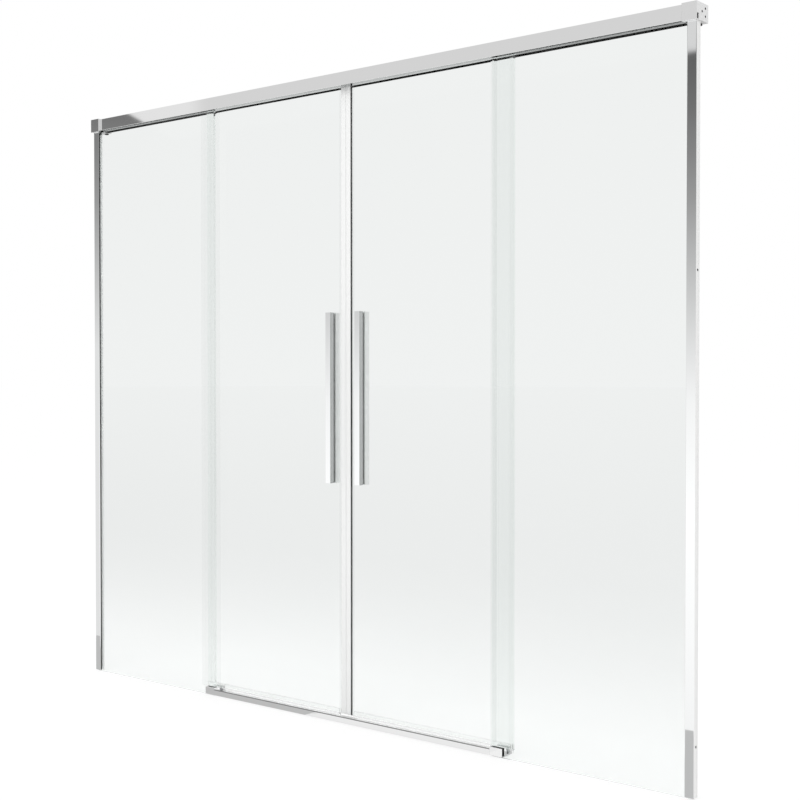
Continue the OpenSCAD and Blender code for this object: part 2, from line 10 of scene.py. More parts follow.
import bmesh
import bpy
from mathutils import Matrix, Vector


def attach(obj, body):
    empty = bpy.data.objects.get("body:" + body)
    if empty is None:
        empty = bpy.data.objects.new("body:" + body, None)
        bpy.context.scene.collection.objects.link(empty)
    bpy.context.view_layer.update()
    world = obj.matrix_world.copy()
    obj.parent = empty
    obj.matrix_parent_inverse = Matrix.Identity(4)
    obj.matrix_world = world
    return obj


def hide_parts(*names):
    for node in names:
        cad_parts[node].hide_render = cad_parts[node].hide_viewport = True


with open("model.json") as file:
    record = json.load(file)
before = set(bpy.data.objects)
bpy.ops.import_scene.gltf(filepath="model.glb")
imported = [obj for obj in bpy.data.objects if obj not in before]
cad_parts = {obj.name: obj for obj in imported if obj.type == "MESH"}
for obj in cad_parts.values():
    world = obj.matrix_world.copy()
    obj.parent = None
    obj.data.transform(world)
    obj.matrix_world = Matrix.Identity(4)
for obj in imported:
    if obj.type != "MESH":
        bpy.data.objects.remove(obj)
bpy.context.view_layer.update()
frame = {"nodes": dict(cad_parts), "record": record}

logging.basicConfig(level=logging.INFO, format="%(levelname)s %(message)s")
log = logging.getLogger("bath_screen")

Colour = tuple[float, float, float]
Point2 = tuple[float, float]
Point3 = tuple[float, float, float]
Span = tuple[float, float]
Row = tuple[int, Sequence[float]]
Chosen = Callable[[Vector, Vector], bool]
Socket = bpy.types.NodeSocket

MM = 0.001
# The Y of the header's front face, in millimetres.
FRONT_Y = -20.0
# A face looks straight, mostly or partly along an axis from these cosines on.
STRAIGHT, MOSTLY, PARTLY = 0.9, 0.5, 0.2
# Points closer than this, in metres, are one: in a mesh made here, and in a CAD node's.
ONE_POINT, CAD_POINT = 1e-7, 1e-6
# Faces closer than this, in millimetres, lie in one place.
ONE_FACE = 0.05
# A CAD node's triangles that meet at less than this angle, in degrees, are one flat face.
FLAT = 0.5
# How far a pane's faces are drawn in, in millimetres.
PANE_GAP = 0.05
SOCKET_SIDES = 6
# Nearly all of a noise's values lie between these.
NOISE_RANGE = (0.3, 0.7)
BODY_OF = {n: b for b, names in frame["record"]["behaviour"]["bodies"].items() for n in names}
SLOT_OF = {s["node"]: s["material_slot"] for s in frame["record"]["subparts"]}


class Side(Enum):
    """Which half of the screen a piece belongs to, seen from the room."""

    LEFT = -1
    RIGHT = 1

    @property
    def word(self) -> str:
        """The side's name as the frame's nodes write it."""
        return self.name.lower()

    @property
    def sign(self) -> int:
        """The sign of X on this side."""
        return int(self.value)


class Along(Enum):
    """The axis that a straight length, a turned piece or a metal's grain follows."""

    X = 0
    Y = 1
    Z = 2


# Materials


class Nodes:
    """A short way to write a node tree."""

    def __init__(self, tree: bpy.types.NodeTree) -> None:
        """Keeps the tree that the nodes go into."""
        self.tree = tree

    def feed(self, node: bpy.types.Node, inputs: dict[str | int, object]) -> None:
        """Fills a node's inputs.

        Args:
            node: the node.
            inputs: a socket to link or a constant for each input.
        """
        for key, value in inputs.items():
            if isinstance(value, Socket):
                self.tree.links.new(value, node.inputs[key])
            else:
                node.inputs[key].default_value = value

    def add(self, kind: str, inputs: dict[str | int, object] | None = None,
            **settings: object) -> bpy.types.Node:
        """Adds a node.

        Args:
            kind: the node's class.
            inputs: a socket to link or a constant for each input that is used.
            **settings: the node's own settings, made before its inputs.

        Returns:
            The new node.
        """
        node = self.tree.nodes.new(kind)
        for key, value in settings.items():
            setattr(node, key, value)
        self.feed(node, inputs or {})
        return node

    def do(self, operation: str, *values: Socket | float) -> Socket:
        """The result of one Math node, from sockets or numbers."""
        return self.add("ShaderNodeMath", dict(enumerate(values)), operation=operation).outputs[0]

    def between(self, value: Socket, low: float, high: float) -> Socket:
        """A smooth step from 0 at low to 1 at high."""
        given = {"Value": value, "From Min": low, "From Max": high}
        return self.add("ShaderNodeMapRange", given, interpolation_type="SMOOTHSTEP").outputs["Result"]

    def blend(self, share: Socket, first: Socket | float, second: Socket | float) -> Socket:
        """Two tones mixed, the first at share 0 and the second at share 1."""
        return self.add("ShaderNodeMix", {"Factor": share, "A": first, "B": second}).outputs["Result"]


def emptied(owner: bpy.types.Material | bpy.types.World) -> bpy.types.NodeTree:
    """Takes all nodes out of a material or world.

    Args:
        owner: the material or world.

    Returns:
        Its empty node tree.
    """
    owner.use_nodes = True
    owner.node_tree.nodes.clear()
    return owner.node_tree


class Shader(Nodes):
    """A material with one Principled shader, and what feeds it."""

    def __init__(self, name: str, **values: object) -> None:
        """Makes the material.

        Args:
            name: the material's name.
            **values: constants of the Principled shader, with _ for a space.
        """
        self.material = bpy.data.materials.new(name)
        super().__init__(emptied(self.material))
        given = {key.replace("_", " "): value for key, value in values.items()}
        self.surface = self.add("ShaderNodeBsdfPrincipled", given)
        self.add("ShaderNodeOutputMaterial", {"Surface": self.surface.outputs["BSDF"]})

    def noise(self, size: float, detail: float, stretch: Sequence[float] = (1.0, 1.0, 1.0)) -> Socket:
        """A noise pattern on the piece's own Object coordinates.

        Args:
            size: the noise's scale.
            detail: the noise's detail.
            stretch: the pattern's scale along X, Y and Z.

        Returns:
            The pattern's socket.
        """
        where = self.add("ShaderNodeTexCoord").outputs["Object"]
        placed = self.add("ShaderNodeMapping", {"Vector": where, "Scale": tuple(stretch)}).outputs["Vector"]
        given = {"Vector": placed, "Scale": size, "Detail": detail}
        return self.add("ShaderNodeTexNoise", given).outputs["Fac"]

    def roughness(self, source: Socket, low: float, high: float) -> None:
        """Spreads a noise's middle range over a range of roughness.

        Args:
            source: the noise.
            low: the roughness at its low end.
            high: the roughness at its high end.
        """
        least, most = NOISE_RANGE
        given = {"Value": source, "From Min": least, "From Max": most, "To Min": low, "To Max": high}
        self.feed(self.surface, {"Roughness": self.add("ShaderNodeMapRange", given).outputs["Result"]})

    def relief(self, source: Socket, strength: float, depth: float) -> None:
        """Turns a noise into a fine relief.

        Args:
            source: the noise that is the height.
            strength: the relief's strength.
            depth: its depth in metres.
        """
        bump = self.add("ShaderNodeBump", {"Height": source, "Strength": strength, "Distance": depth})
        self.feed(self.surface, {"Normal": bump.outputs["Normal"]})


@dataclass(frozen=True)
class MetalFinish:
    """Bright metal: its tint, its polish and the fine drawing lines along the piece."""

    name: str
    tint: Colour
    polish: Span
    lines: float
    along: Along = Along.X
    across_scale: float = 60.0
    along_scale: float = 0.6
    line_depth: float = 0.00002

    def make(self) -> bpy.types.Material:
        """Builds the material.

        Returns:
            The metal's material.
        """
        metal = Shader(self.name, Base_Color=(*self.tint, 1.0), Metallic=1.0)
        stretch = [self.along_scale if axis is self.along else self.across_scale for axis in Along]
        metal.roughness(metal.noise(size=14.0, detail=2.0), *self.polish)
        metal.relief(metal.noise(size=12.0, detail=4.0, stretch=stretch), self.lines, self.line_depth)
        return metal.material


@dataclass(frozen=True)
class GlassFinish:
    """Clear float glass with a faint green cast, as cleaned glass looks after a few wipes."""

    name: str
    tint: Colour
    ior: float
    wiped: Span = (0.0, 0.012)
    wipe_stretch: Point3 = (1.0, 1.0, 0.35)

    def make(self) -> bpy.types.Material:
        """Builds the material.

        Returns:
            The glass's material.
        """
        glass = Shader(self.name, Base_Color=(*self.tint, 1.0), Transmission_Weight=1.0, IOR=self.ior)
        glass.roughness(glass.noise(size=5.0, detail=5.0, stretch=self.wipe_stretch), *self.wiped)
        return glass.material


@dataclass(frozen=True)
class PlasticFinish:
    """Moulded or extruded plastic and rubber: colour, gloss, clearness and a fine skin."""

    name: str
    colour: Colour
    gloss: Span
    skin: float = 0.15
    clear: float = 0.0
    ior: float = 1.45
    shade: float = 0.92
    grain: float = 90.0
    shine: float = 0.5
    skin_depth: float = 0.00005

    def make(self) -> bpy.types.Material:
        """Builds the material, with small clouds in its gloss and colour.

        Returns:
            The plastic's material.
        """
        plastic = Shader(self.name, Transmission_Weight=self.clear, IOR=self.ior,
                         Specular_IOR_Level=self.shine)
        cloud = plastic.noise(size=self.grain, detail=3.0)
        plastic.roughness(cloud, *self.gloss)
        darker = tuple(c * self.shade for c in self.colour)
        given = {"Factor": cloud, "A": (*darker, 1.0), "B": (*self.colour, 1.0)}
        mix = plastic.add("ShaderNodeMix", given, data_type="RGBA")
        plastic.feed(plastic.surface, {"Base Color": mix.outputs["Result"]})
        plastic.relief(plastic.noise(size=900.0, detail=2.0), self.skin, self.skin_depth)
        return plastic.material


def clear_plastic(name: str, tint: Colour, ior: float) -> PlasticFinish:
    """The finish of a clear extruded seal, whose thin walls hardly show."""
    return PlasticFinish(name, tint, (0.03, 0.08), 0.05, 1.0, ior, 0.995)


# The panes bend light less than real glass does, so that they mirror less and the dark slot behind them
# stays dark. Their ground edges hardly bend it, so that no dark line shows in them.
PANE_TINT, PANE_IOR, EDGE_IOR = (0.962, 0.979, 0.972), 1.2, 1.03
BRIGHT = (0.95, 0.95, 0.95)
THIN_TINT = (0.988, 0.99, 0.989)

FINISHES: dict[str, MetalFinish | GlassFinish | PlasticFinish] = {
    "polished_metal": MetalFinish("bright_drawn_metal", BRIGHT, (0.012, 0.03), 0.01),
    "upright_metal": MetalFinish("bright_upright_metal", (0.96, 0.97, 0.97), (0.015, 0.035), 0.01, Along.Z),
    "plated_cap": MetalFinish("plated_casting", BRIGHT, (0.02, 0.05), 0.01),
    "cap_foot": MetalFinish("satin_cap_foot", BRIGHT, (0.3, 0.4), 0.05),
    # Darker metal on the outer handle bar's sides: painted shade.
    "shaded_bar_side": MetalFinish("satin_upright_metal", (0.52, 0.53, 0.53), (0.18, 0.28), 0.05, Along.Z),
    # Darker metal on the cover strip under the header: painted shade.
    "shaded_strip_metal": MetalFinish("satin_strip_metal", (0.42, 0.43, 0.43), (0.15, 0.25), 0.05),
    # Darker metal under the rail's middle: painted shade.
    "shaded_rail_foot": MetalFinish("satin_rail_foot", (0.58, 0.59, 0.59), (0.15, 0.25), 0.05),
    # Near-black metal on the walls of the caps' screw holes: painted shade.
    "hole_shade": MetalFinish("blackened_steel", (0.06, 0.06, 0.065), (0.3, 0.45), 0.12),
    "steel": MetalFinish("bright_steel", (0.72, 0.73, 0.74), (0.2, 0.3), 0.12),
    "fixed_pane": GlassFinish("fixed_float_glass", PANE_TINT, PANE_IOR),
    "sliding_pane": GlassFinish("sliding_float_glass", PANE_TINT, PANE_IOR),
    "pane_edge": GlassFinish("ground_glass_edge", (0.95, 0.975, 0.965), EDGE_IOR),
    "clear_seal": clear_plastic("clear_seal_plastic", (0.962, 0.964, 0.963), 1.08),
    "thin_seal": clear_plastic("thin_seal_plastic", THIN_TINT, 1.08),
    "clear_lip": clear_plastic("clear_lip_plastic", THIN_TINT, 1.25),
    "white_seal": PlasticFinish("white_seal_plastic", (0.90, 0.905, 0.90), (0.3, 0.4), 0.08, shade=0.97),
    "magnet": PlasticFinish("magnet_strip", (0.80, 0.80, 0.79), (0.45, 0.6)),
    "white_tape": PlasticFinish("white_foam_tape", (0.98, 0.98, 0.975), (0.7, 0.85), 0.4, shade=0.97),
    # Pale paint in the threshold's trough, inside the wall channels behind the panes and on the channel
    # strips: painted light.
    "trough": PlasticFinish("satin_trough", (0.93, 0.93, 0.93), (0.35, 0.5), 0.1, shade=0.97),
    "cast_face": PlasticFinish("cast_wall_face", (1.0, 1.0, 1.0), (0.4, 0.6), 0.6, shade=0.72, grain=420.0),
    # Pale plastic on the inner handle bar's sides: painted light.
    "lit_bar_side": PlasticFinish("satin_bar_plating", (0.95, 0.96, 0.955), (0.2, 0.3), 0.05),
    "guide_plastic": PlasticFinish("guide_plastic", (0.62, 0.63, 0.64), (0.3, 0.42)),
    "black_plastic": PlasticFinish("black_bush_plastic", (0.02, 0.02, 0.02), (0.25, 0.35)),
    "roller_plastic": PlasticFinish("roller_plastic", (0.82, 0.82, 0.80), (0.3, 0.4)),
    "black_rubber": PlasticFinish("black_rubber", (0.012, 0.012, 0.013), (0.6, 0.75), 0.25, shine=0.2),
    "grey_rubber": PlasticFinish("grey_rubber", (0.52, 0.53, 0.53), (0.5, 0.65), 0.25),
    "front_gasket": PlasticFinish("soft_black_rubber", (0.10, 0.10, 0.10), (0.55, 0.7), 0.25),
    "handle_gasket": PlasticFinish("handle_gasket_rubber", (0.13, 0.14, 0.135), (0.5, 0.65), 0.2),
    # A paler copy of the handle pad rubber, on the pads behind the pane: painted light.
    "lit_pad": PlasticFinish("pale_pad_rubber", (0.62, 0.63, 0.625), (0.5, 0.65), 0.15),
    # A dark line painted on the threshold lip's chamfer: painted shade.
    "lip_shade": PlasticFinish("dark_lip_line", (0.16, 0.16, 0.16), (0.4, 0.5), 0.1, shine=0.2),
    # Near-black painted into hollows, grooves and gaps and under the rail's rear wall, where shade falls:
    # painted shade. The bracket gaskets take it as their own black.
    "black_and_painted_shade": PlasticFinish("matt_black_lining", (0.006, 0.006, 0.006), (0.6, 0.75), 0.2, shine=0.06),
}


class Paints:
    """Makes each finish's material once."""

    def __init__(self) -> None:
        """Starts with no materials."""
        self.made: dict[str, bpy.types.Material] = {}

    def get(self, key: str) -> bpy.types.Material:
        """The material for a record slot or finish key.

        Args:
            key: a key of FINISHES.

        Returns:
            The material.
        """
        if key not in self.made:
            self.made[key] = FINISHES[key].make()
        return self.made[key]


PAINTS = Paints()


# Meshes


def spot(x: float, depth: float, z: float) -> Vector:
    """A point in the frame, from millimetres across, behind the header's front face and up."""
    return Vector((x, FRONT_Y + depth, z)) * MM


def behind(depth: float) -> float:
    """The frame's Y, in metres, at a depth in millimetres behind the header's front face."""
    return (FRONT_Y + depth) * MM


def new_object(mesh: bpy.types.Mesh, name: str = "piece") -> bpy.types.Object:
    """Links a mesh into the scene as an object at the origin.

    Args:
        mesh: the mesh.
        name: the object's name, which a CAD node's piece gets later.

    Returns:
        The object.
    """
    obj = bpy.data.objects.new(name, mesh)
    bpy.context.scene.collection.objects.link(obj)
    return obj


def removed(obj: bpy.types.Object) -> None:
    """Takes an object and its mesh out of the file.

    Args:
        obj: the object.
    """
    mesh = obj.data
    bpy.data.objects.remove(obj)
    bpy.data.meshes.remove(mesh)


def opened(mesh: bpy.types.Mesh) -> bmesh.types.BMesh:
    """Opens a mesh for changes.

    Args:
        mesh: the mesh.

    Returns:
        Its corners, edges and faces.
    """
    work = bmesh.new()
    work.from_mesh(mesh)
    return work


def closed(work: bmesh.types.BMesh, mesh: bpy.types.Mesh) -> None:
    """Writes an opened mesh's changes to a mesh and frees the opened one."""
    work.to_mesh(mesh)
    work.free()


def from_bmesh(work: bmesh.types.BMesh) -> bpy.types.Object:
    """Turns a finished bmesh into an object, with its doubles merged and its faces turned outwards.

    Args:
        work: the bmesh, which is freed.

    Returns:
        The object.
    """
    bmesh.ops.remove_doubles(work, verts=work.verts, dist=ONE_POINT)
    bmesh.ops.recalc_face_normals(work, faces=work.faces)
    mesh = bpy.data.meshes.new("piece")
    closed(work, mesh)
    return new_object(mesh)


def baked(obj: bpy.types.Object) -> bpy.types.Object:
    """Turns an object's modifiers into its mesh.

    Args:
        obj: the object, with live modifiers.

    Returns:
        The same object, with no modifiers.
    """
    bpy.context.view_layer.update()
    graph = bpy.context.evaluated_depsgraph_get()
    mesh = bpy.data.meshes.new_from_object(obj.evaluated_get(graph))
    obj.modifiers.clear()
    old, obj.data = obj.data, mesh
    bpy.data.meshes.remove(old)
    return obj


def cad_copy(node: str) -> bpy.types.Object:
    """A new object with a node's shape, its loose triangles joined into flat faces.

    Args:
        node: the CAD node's name.

    Returns:
        The new object.
    """
    work = opened(frame["nodes"][node].data)
    bmesh.ops.remove_doubles(work, verts=work.verts, dist=CAD_POINT)
    bmesh.ops.dissolve_limit(work, angle_limit=math.radians(FLAT), verts=work.verts, edges=work.edges)
    mesh = bpy.data.meshes.new("piece")
    closed(work, mesh)
    mesh.materials.clear()
    return new_object(mesh)


def softened(obj: bpy.types.Object, width_mm: float, steps: int = 2, angle: float = 35.0) -> bpy.types.Object:
    """Rounds an object's sharp edges.

    Args:
        obj: the object.
        width_mm: the rounding's width.
        steps: how many facets the rounding has, 1 for a flat one.
        angle: the least edge angle that is rounded, in degrees.

    Returns:
        The same object.
    """
    bevel = obj.modifiers.new("rounding", "BEVEL")
    bevel.width = width_mm * MM
    bevel.segments = steps
    bevel.limit_method = "ANGLE"
    bevel.angle_limit = math.radians(angle)
    return baked(obj)


def raised(obj: bpy.types.Object, above_mm: float, rise_mm: float) -> bpy.types.Object:
    """Lengthens an upright piece at its top.

    Args:
        obj: the piece.
        above_mm: the height above which its corners move.
        rise_mm: how far they move up.

    Returns:
        The same piece.
    """
    for corner in obj.data.vertices:
        if corner.co.z > above_mm * MM:
            corner.co.z += rise_mm * MM
    return obj


def chamfered(obj: bpy.types.Object, width_mm: float, chosen: Chosen) -> bpy.types.Object:
    """Cuts a flat chamfer along some of an object's edges.

    Args:
        obj: the object.
        width_mm: the chamfer's width on each face.
        chosen: tells from an edge's middle and direction whether it is cut.

    Returns:
        The same object.
    """
    work = opened(obj.data)
    edges = []
    for edge in work.edges:
        start, end = (v.co for v in edge.verts)
        if chosen((start + end) / 2, (end - start).normalized()):
            edges.append(edge)
    bmesh.ops.bevel(work, geom=edges, offset=width_mm * MM, offset_type="OFFSET", segments=1, affect="EDGES")
    closed(work, obj.data)
    return obj


def carved(obj: bpy.types.Object, cutter: bpy.types.Object) -> bpy.types.Object:
    """Cuts one object's shape out of another and removes the cutter.

    Args:
        obj: the object that is cut.
        cutter: the closed shape that is taken away.

    Returns:
        The cut object.
    """
    cut = obj.modifiers.new("cut", "BOOLEAN")
    cut.operation = "DIFFERENCE"
    cut.solver = "EXACT"
    cut.object = cutter
    baked(obj)
    removed(cutter)
    return obj


def drawn_in(obj: bpy.types.Object, gap_mm: float) -> bpy.types.Object:
    """Moves an object's faces inwards, so that none lies exactly on a neighbour's.

    Args:
        obj: the object.
        gap_mm: how far the faces move.

    Returns:
        The same object.
    """
    work = opened(obj.data)
    work.normal_update()
    moves = [v.normal * v.calc_shell_factor() * gap_mm * MM for v in work.verts]
    for vert, move in zip(work.verts, moves):
        vert.co -= move
    closed(work, obj.data)
    return obj


def joined(parts: Sequence[bpy.types.Object]) -> bpy.types.Object:
    """Joins plain mesh objects into one and removes them.

    Args:
        parts: the objects, all at the origin.

    Returns:
        The new object.
    """
    work = bmesh.new()
    for part in parts:
        work.from_mesh(part.data)
        removed(part)
    return from_bmesh(work)


def shaded(obj: bpy.types.Object, crisp: float = 50.0, least_share: float = 0.3) -> bpy.types.Object:
    """Smooths the shading of roundings and keeps the flat faces between them flat.

    Args:
        obj: the object.
        crisp: faces that meet at more than this angle, in degrees, keep a crisp edge.
        least_share: a face counts at a corner from this share of the corner's largest face on.

    Returns:
        The same object.
    """
    mesh = obj.data
    mesh.shade_smooth()
    around: list[list[int]] = [[] for _ in mesh.vertices]
    for face in mesh.polygons:
        for vert in face.vertices:
            around[vert].append(face.index)
    normals = [face.normal.copy() for face in mesh.polygons]
    areas = [face.area for face in mesh.polygons]
    least = math.cos(math.radians(crisp))
    corners = [Vector((0.0, 0.0, 1.0))] * len(mesh.loops)
    for face in mesh.polygons:
        own = normals[face.index]
        for loop in face.loop_indices:
            near = [k for k in around[mesh.loops[loop].vertex_index] if normals[k].dot(own) > least]
            large = least_share * max((areas[k] for k in near), default=0.0)
            total = sum((normals[k] * areas[k] for k in near if areas[k] > large), Vector())
            corners[loop] = total.normalized() if total.length > 0 else own
    mesh.normals_split_custom_set(corners)
    return obj


def filleted(points: Sequence[Point2], radii: Sequence[float], steps: int = 3) -> list[Point2]:
    """Rounds the corners of a closed outline.

    Args:
        points: the outline's corners.
        radii: one radius for each corner, 0 for a sharp one.
        steps: how many chords each rounding has.

    Returns:
        The rounded outline.
    """
    out: list[Point2] = []
    count = len(points)
    for i, (here, radius) in enumerate(zip(points, radii)):
        if radius <= 0:
            out.append(tuple(here))
            continue
        corner = Vector(here)
        back = (Vector(points[i - 1]) - corner).normalized()
        ahead = (Vector(points[(i + 1) % count]) - corner).normalized()
        half = back.angle(ahead) / 2
        reach = radius / math.tan(half)
        centre = corner + (back + ahead).normalized() * (radius / math.sin(half))
        start = corner + back * reach - centre
        end = corner + ahead * reach - centre
        for k in range(steps + 1):
            out.append(tuple(centre + start.lerp(end, k / steps).normalized() * radius))
    return out


def extruded(outlines: Sequence[Sequence[Point2]], along: Along, ends: Span,
             side: Side = Side.RIGHT) -> bpy.types.Object:
    """Straight lengths with given outlines, drawn on the right side and mirrored for the left.

    Args:
        outlines: closed outlines, in (x, depth) for an upright length or (depth, z) for a level one.
        along: Along.Z for an upright length, Along.X for a level one.
        ends: where the length starts and ends, in millimetres.
        side: the side that it is for.

    Returns:
        The object.
    """
    work = bmesh.new()
    for outline in outlines:
        rings = []
        for end in ends:
            if along is Along.Z:
                points = [spot(a * side.sign, b, end) for a, b in outline]
            else:
                points = [spot(end * side.sign, a, b) for a, b in outline]
            rings.append([work.verts.new(p) for p in points])
        first, last = rings
        work.faces.new(first)
        work.faces.new(last)
        for k in range(len(outline)):
            j = (k + 1) % len(outline)
            work.faces.new((first[k], first[j], last[j], last[k]))
    return from_bmesh(work)


def turned(outline: Sequence[Point2], centre: Vector, axis: Along, steps: int = 32) -> bpy.types.Object:
    """A turned piece: an outline spun about an axis through a point.

    Args:
        outline: closed outline as (radius, distance along the axis) in millimetres.
        centre: the point on the axis where the distance is 0, in metres.
        axis: the axis's direction.
        steps: how many facets the turning has.

    Returns:
        The object.
    """
    along = Vector([float(axis.value == k) for k in range(3)])
    one = Vector((0.0, 0.0, 1.0)) if axis is not Along.Z else Vector((1.0, 0.0, 0.0))
    two = along.cross(one)
    work = bmesh.new()
    rings = []
    for k in range(steps):
        turn = 2 * math.pi * k / steps
        out = one * math.cos(turn) + two * math.sin(turn)
        rings.append([work.verts.new(centre + (out * r + along * a) * MM) for r, a in outline])
    for k in range(steps):
        here, there = rings[k], rings[(k + 1) % steps]
        for i in range(len(outline)):
            j = (i + 1) % len(outline)
            work.faces.new((here[i], here[j], there[j], there[i]))
    bmesh.ops.remove_doubles(work, verts=work.verts, dist=ONE_POINT)
    bmesh.ops.dissolve_degenerate(work, edges=work.edges, dist=ONE_POINT)
    return from_bmesh(work)


def socket_cutter(radius: float, centre: Vector, axis: Along, ends: Span) -> bpy.types.Object:
    """The hexagon that cuts a screw's socket.

    Args:
        radius: its corner radius in millimetres.
        centre: the point on the axis where the distance is 0, in metres.
        axis: the axis's direction.
        ends: where it starts and ends along the axis, in millimetres.

    Returns:
        The cutter.
    """
    low, high = ends
    return turned([(0, low), (radius, low), (radius, high), (0, high)], centre, axis, SOCKET_SIDES)


class Rows:
    """A Geometry Nodes tree that repeats a part in two even rows, made once."""

    tree: bpy.types.NodeTree | None = None
    sockets: dict[str, str] = {}

    @classmethod
    def build(cls) -> bpy.types.NodeTree:
        """Builds the tree with its named inputs.

        Returns:
            The tree.
        """
        cls.tree = bpy.data.node_groups.new("rows_of_parts", "GeometryNodeTree")
        face = cls.tree.interface
        for name, kind in (("Part", "Geometry"), ("First Count", "Int"), ("First Step", "Vector"),
                           ("Second Count", "Int"), ("Second Step", "Vector"), ("Finish", "Material")):
            socket = face.new_socket(name, in_out="INPUT", socket_type=f"NodeSocket{kind}")
            cls.sockets[name] = socket.identifier
        face.new_socket("Parts", in_out="OUTPUT", socket_type="NodeSocketGeometry")
        nodes = Nodes(cls.tree)
        given = nodes.add("NodeGroupInput").outputs
        lines = []
        for word in ("First", "Second"):
            row = {"Count": given[f"{word} Count"], "Offset": given[f"{word} Step"]}
            lines.append(nodes.add("GeometryNodeMeshLine", row, mode="OFFSET").outputs["Mesh"])
        grid = nodes.add("GeometryNodeInstanceOnPoints", {"Points": lines[1], "Instance": lines[0]})
        places = nodes.add("GeometryNodeRealizeInstances", {"Geometry": grid.outputs["Instances"]})
        parts = nodes.add("GeometryNodeInstanceOnPoints",
                          {"Points": places.outputs["Geometry"], "Instance": given["Part"]})
        real = nodes.add("GeometryNodeRealizeInstances", {"Geometry": parts.outputs["Instances"]})
        painted = nodes.add("GeometryNodeSetMaterial",
                            {"Geometry": real.outputs["Geometry"], "Material": given["Finish"]})
        nodes.add("NodeGroupOutput", {"Parts": painted.outputs["Geometry"]})
        return cls.tree

    @classmethod
    def repeat(cls, obj: bpy.types.Object, paint: str, first: Row,
               second: Row = (1, (0, 0, 0))) -> bpy.types.Object:
        """Repeats a part from where it stands.

        Args:
            obj: the part, in the first place.
            paint: the finish key of all the parts.
            first: how many along the first row, and the step in millimetres.
            second: how many such rows, and their step in millimetres.

        Returns:
            The same object, with all the copies in its mesh.
        """
        mod = obj.modifiers.new("rows", "NODES")
        mod.node_group = cls.tree or cls.build()
        for word, (count, step) in (("First", first), ("Second", second)):
            mod[cls.sockets[f"{word} Count"]] = count
            mod[cls.sockets[f"{word} Step"]] = [v * MM for v in step]
        mod[cls.sockets["Finish"]] = PAINTS.get(paint)
        return baked(obj)


# Pieces


def finished(obj: bpy.types.Object, node: str, paint: str | None = None,
             clear: bool = False) -> bpy.types.Object:
    """Gives a piece its name and material and puts it in a CAD node's place.

    Args:
        obj: the piece.
        node: the CAD node that it stands for.
        paint: a finish key, or None for the node's own slot.
        clear: whether lamps shine through the piece.

    Returns:
        The piece.
    """
    slot = SLOT_OF[node]
    obj.name = obj.data.name = f"{node}_piece"
    if not slot.endswith("_pane"):
        shaded(obj)
    obj.data.materials.clear()
    obj.data.materials.append(PAINTS.get(paint or slot))
    obj.visible_shadow = not clear
    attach(obj, BODY_OF[node])
    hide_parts(node)
    log.info("%s: %d faces, %s", obj.name, len(obj.data.polygons), paint or slot)
    return obj


def soft_node(node: str, width_mm: float, steps: int = 2, paint: str | None = None,
              clear: bool = False) -> bpy.types.Object:
    """A rounded copy of a CAD node, in its place.

    Args:
        node: the CAD node.
        width_mm: the rounding's width.
        steps: how many facets the rounding has.
        paint: a finish key, or None for the node's own slot.
        clear: whether lamps shine through the piece.

    Returns:
        The piece.
    """
    return finished(softened(cad_copy(node), width_mm, steps), node, paint, clear)


def paint_faces(obj: bpy.types.Object, paint: str, chosen: Chosen) -> None:
    """Gives some faces of a piece a second finish.

    Args:
        obj: the piece.
        paint: the second finish's key.
        chosen: tells from a face's centre and normal whether it gets the finish.
    """
    obj.data.materials.append(PAINTS.get(paint))
    index = len(obj.data.materials) - 1
    for face in obj.data.polygons:
        if chosen(face.center, face.normal):
            face.material_index = index


def ground(node: str, arris_mm: float) -> bpy.types.Object:
    """A glass pane with flat ground edges, which look greener than its faces.

    Args:
        node: the pane's CAD node.
        arris_mm: the width of the ground corners.

    Returns:
        The pane.
    """
    pane = softened(drawn_in(cad_copy(node), PANE_GAP), arris_mm, 1)
    finished(pane, node, clear=True)
    paint_faces(pane, "pane_edge", lambda centre, normal: abs(normal.y) < STRAIGHT)
    return pane


# Fixed part


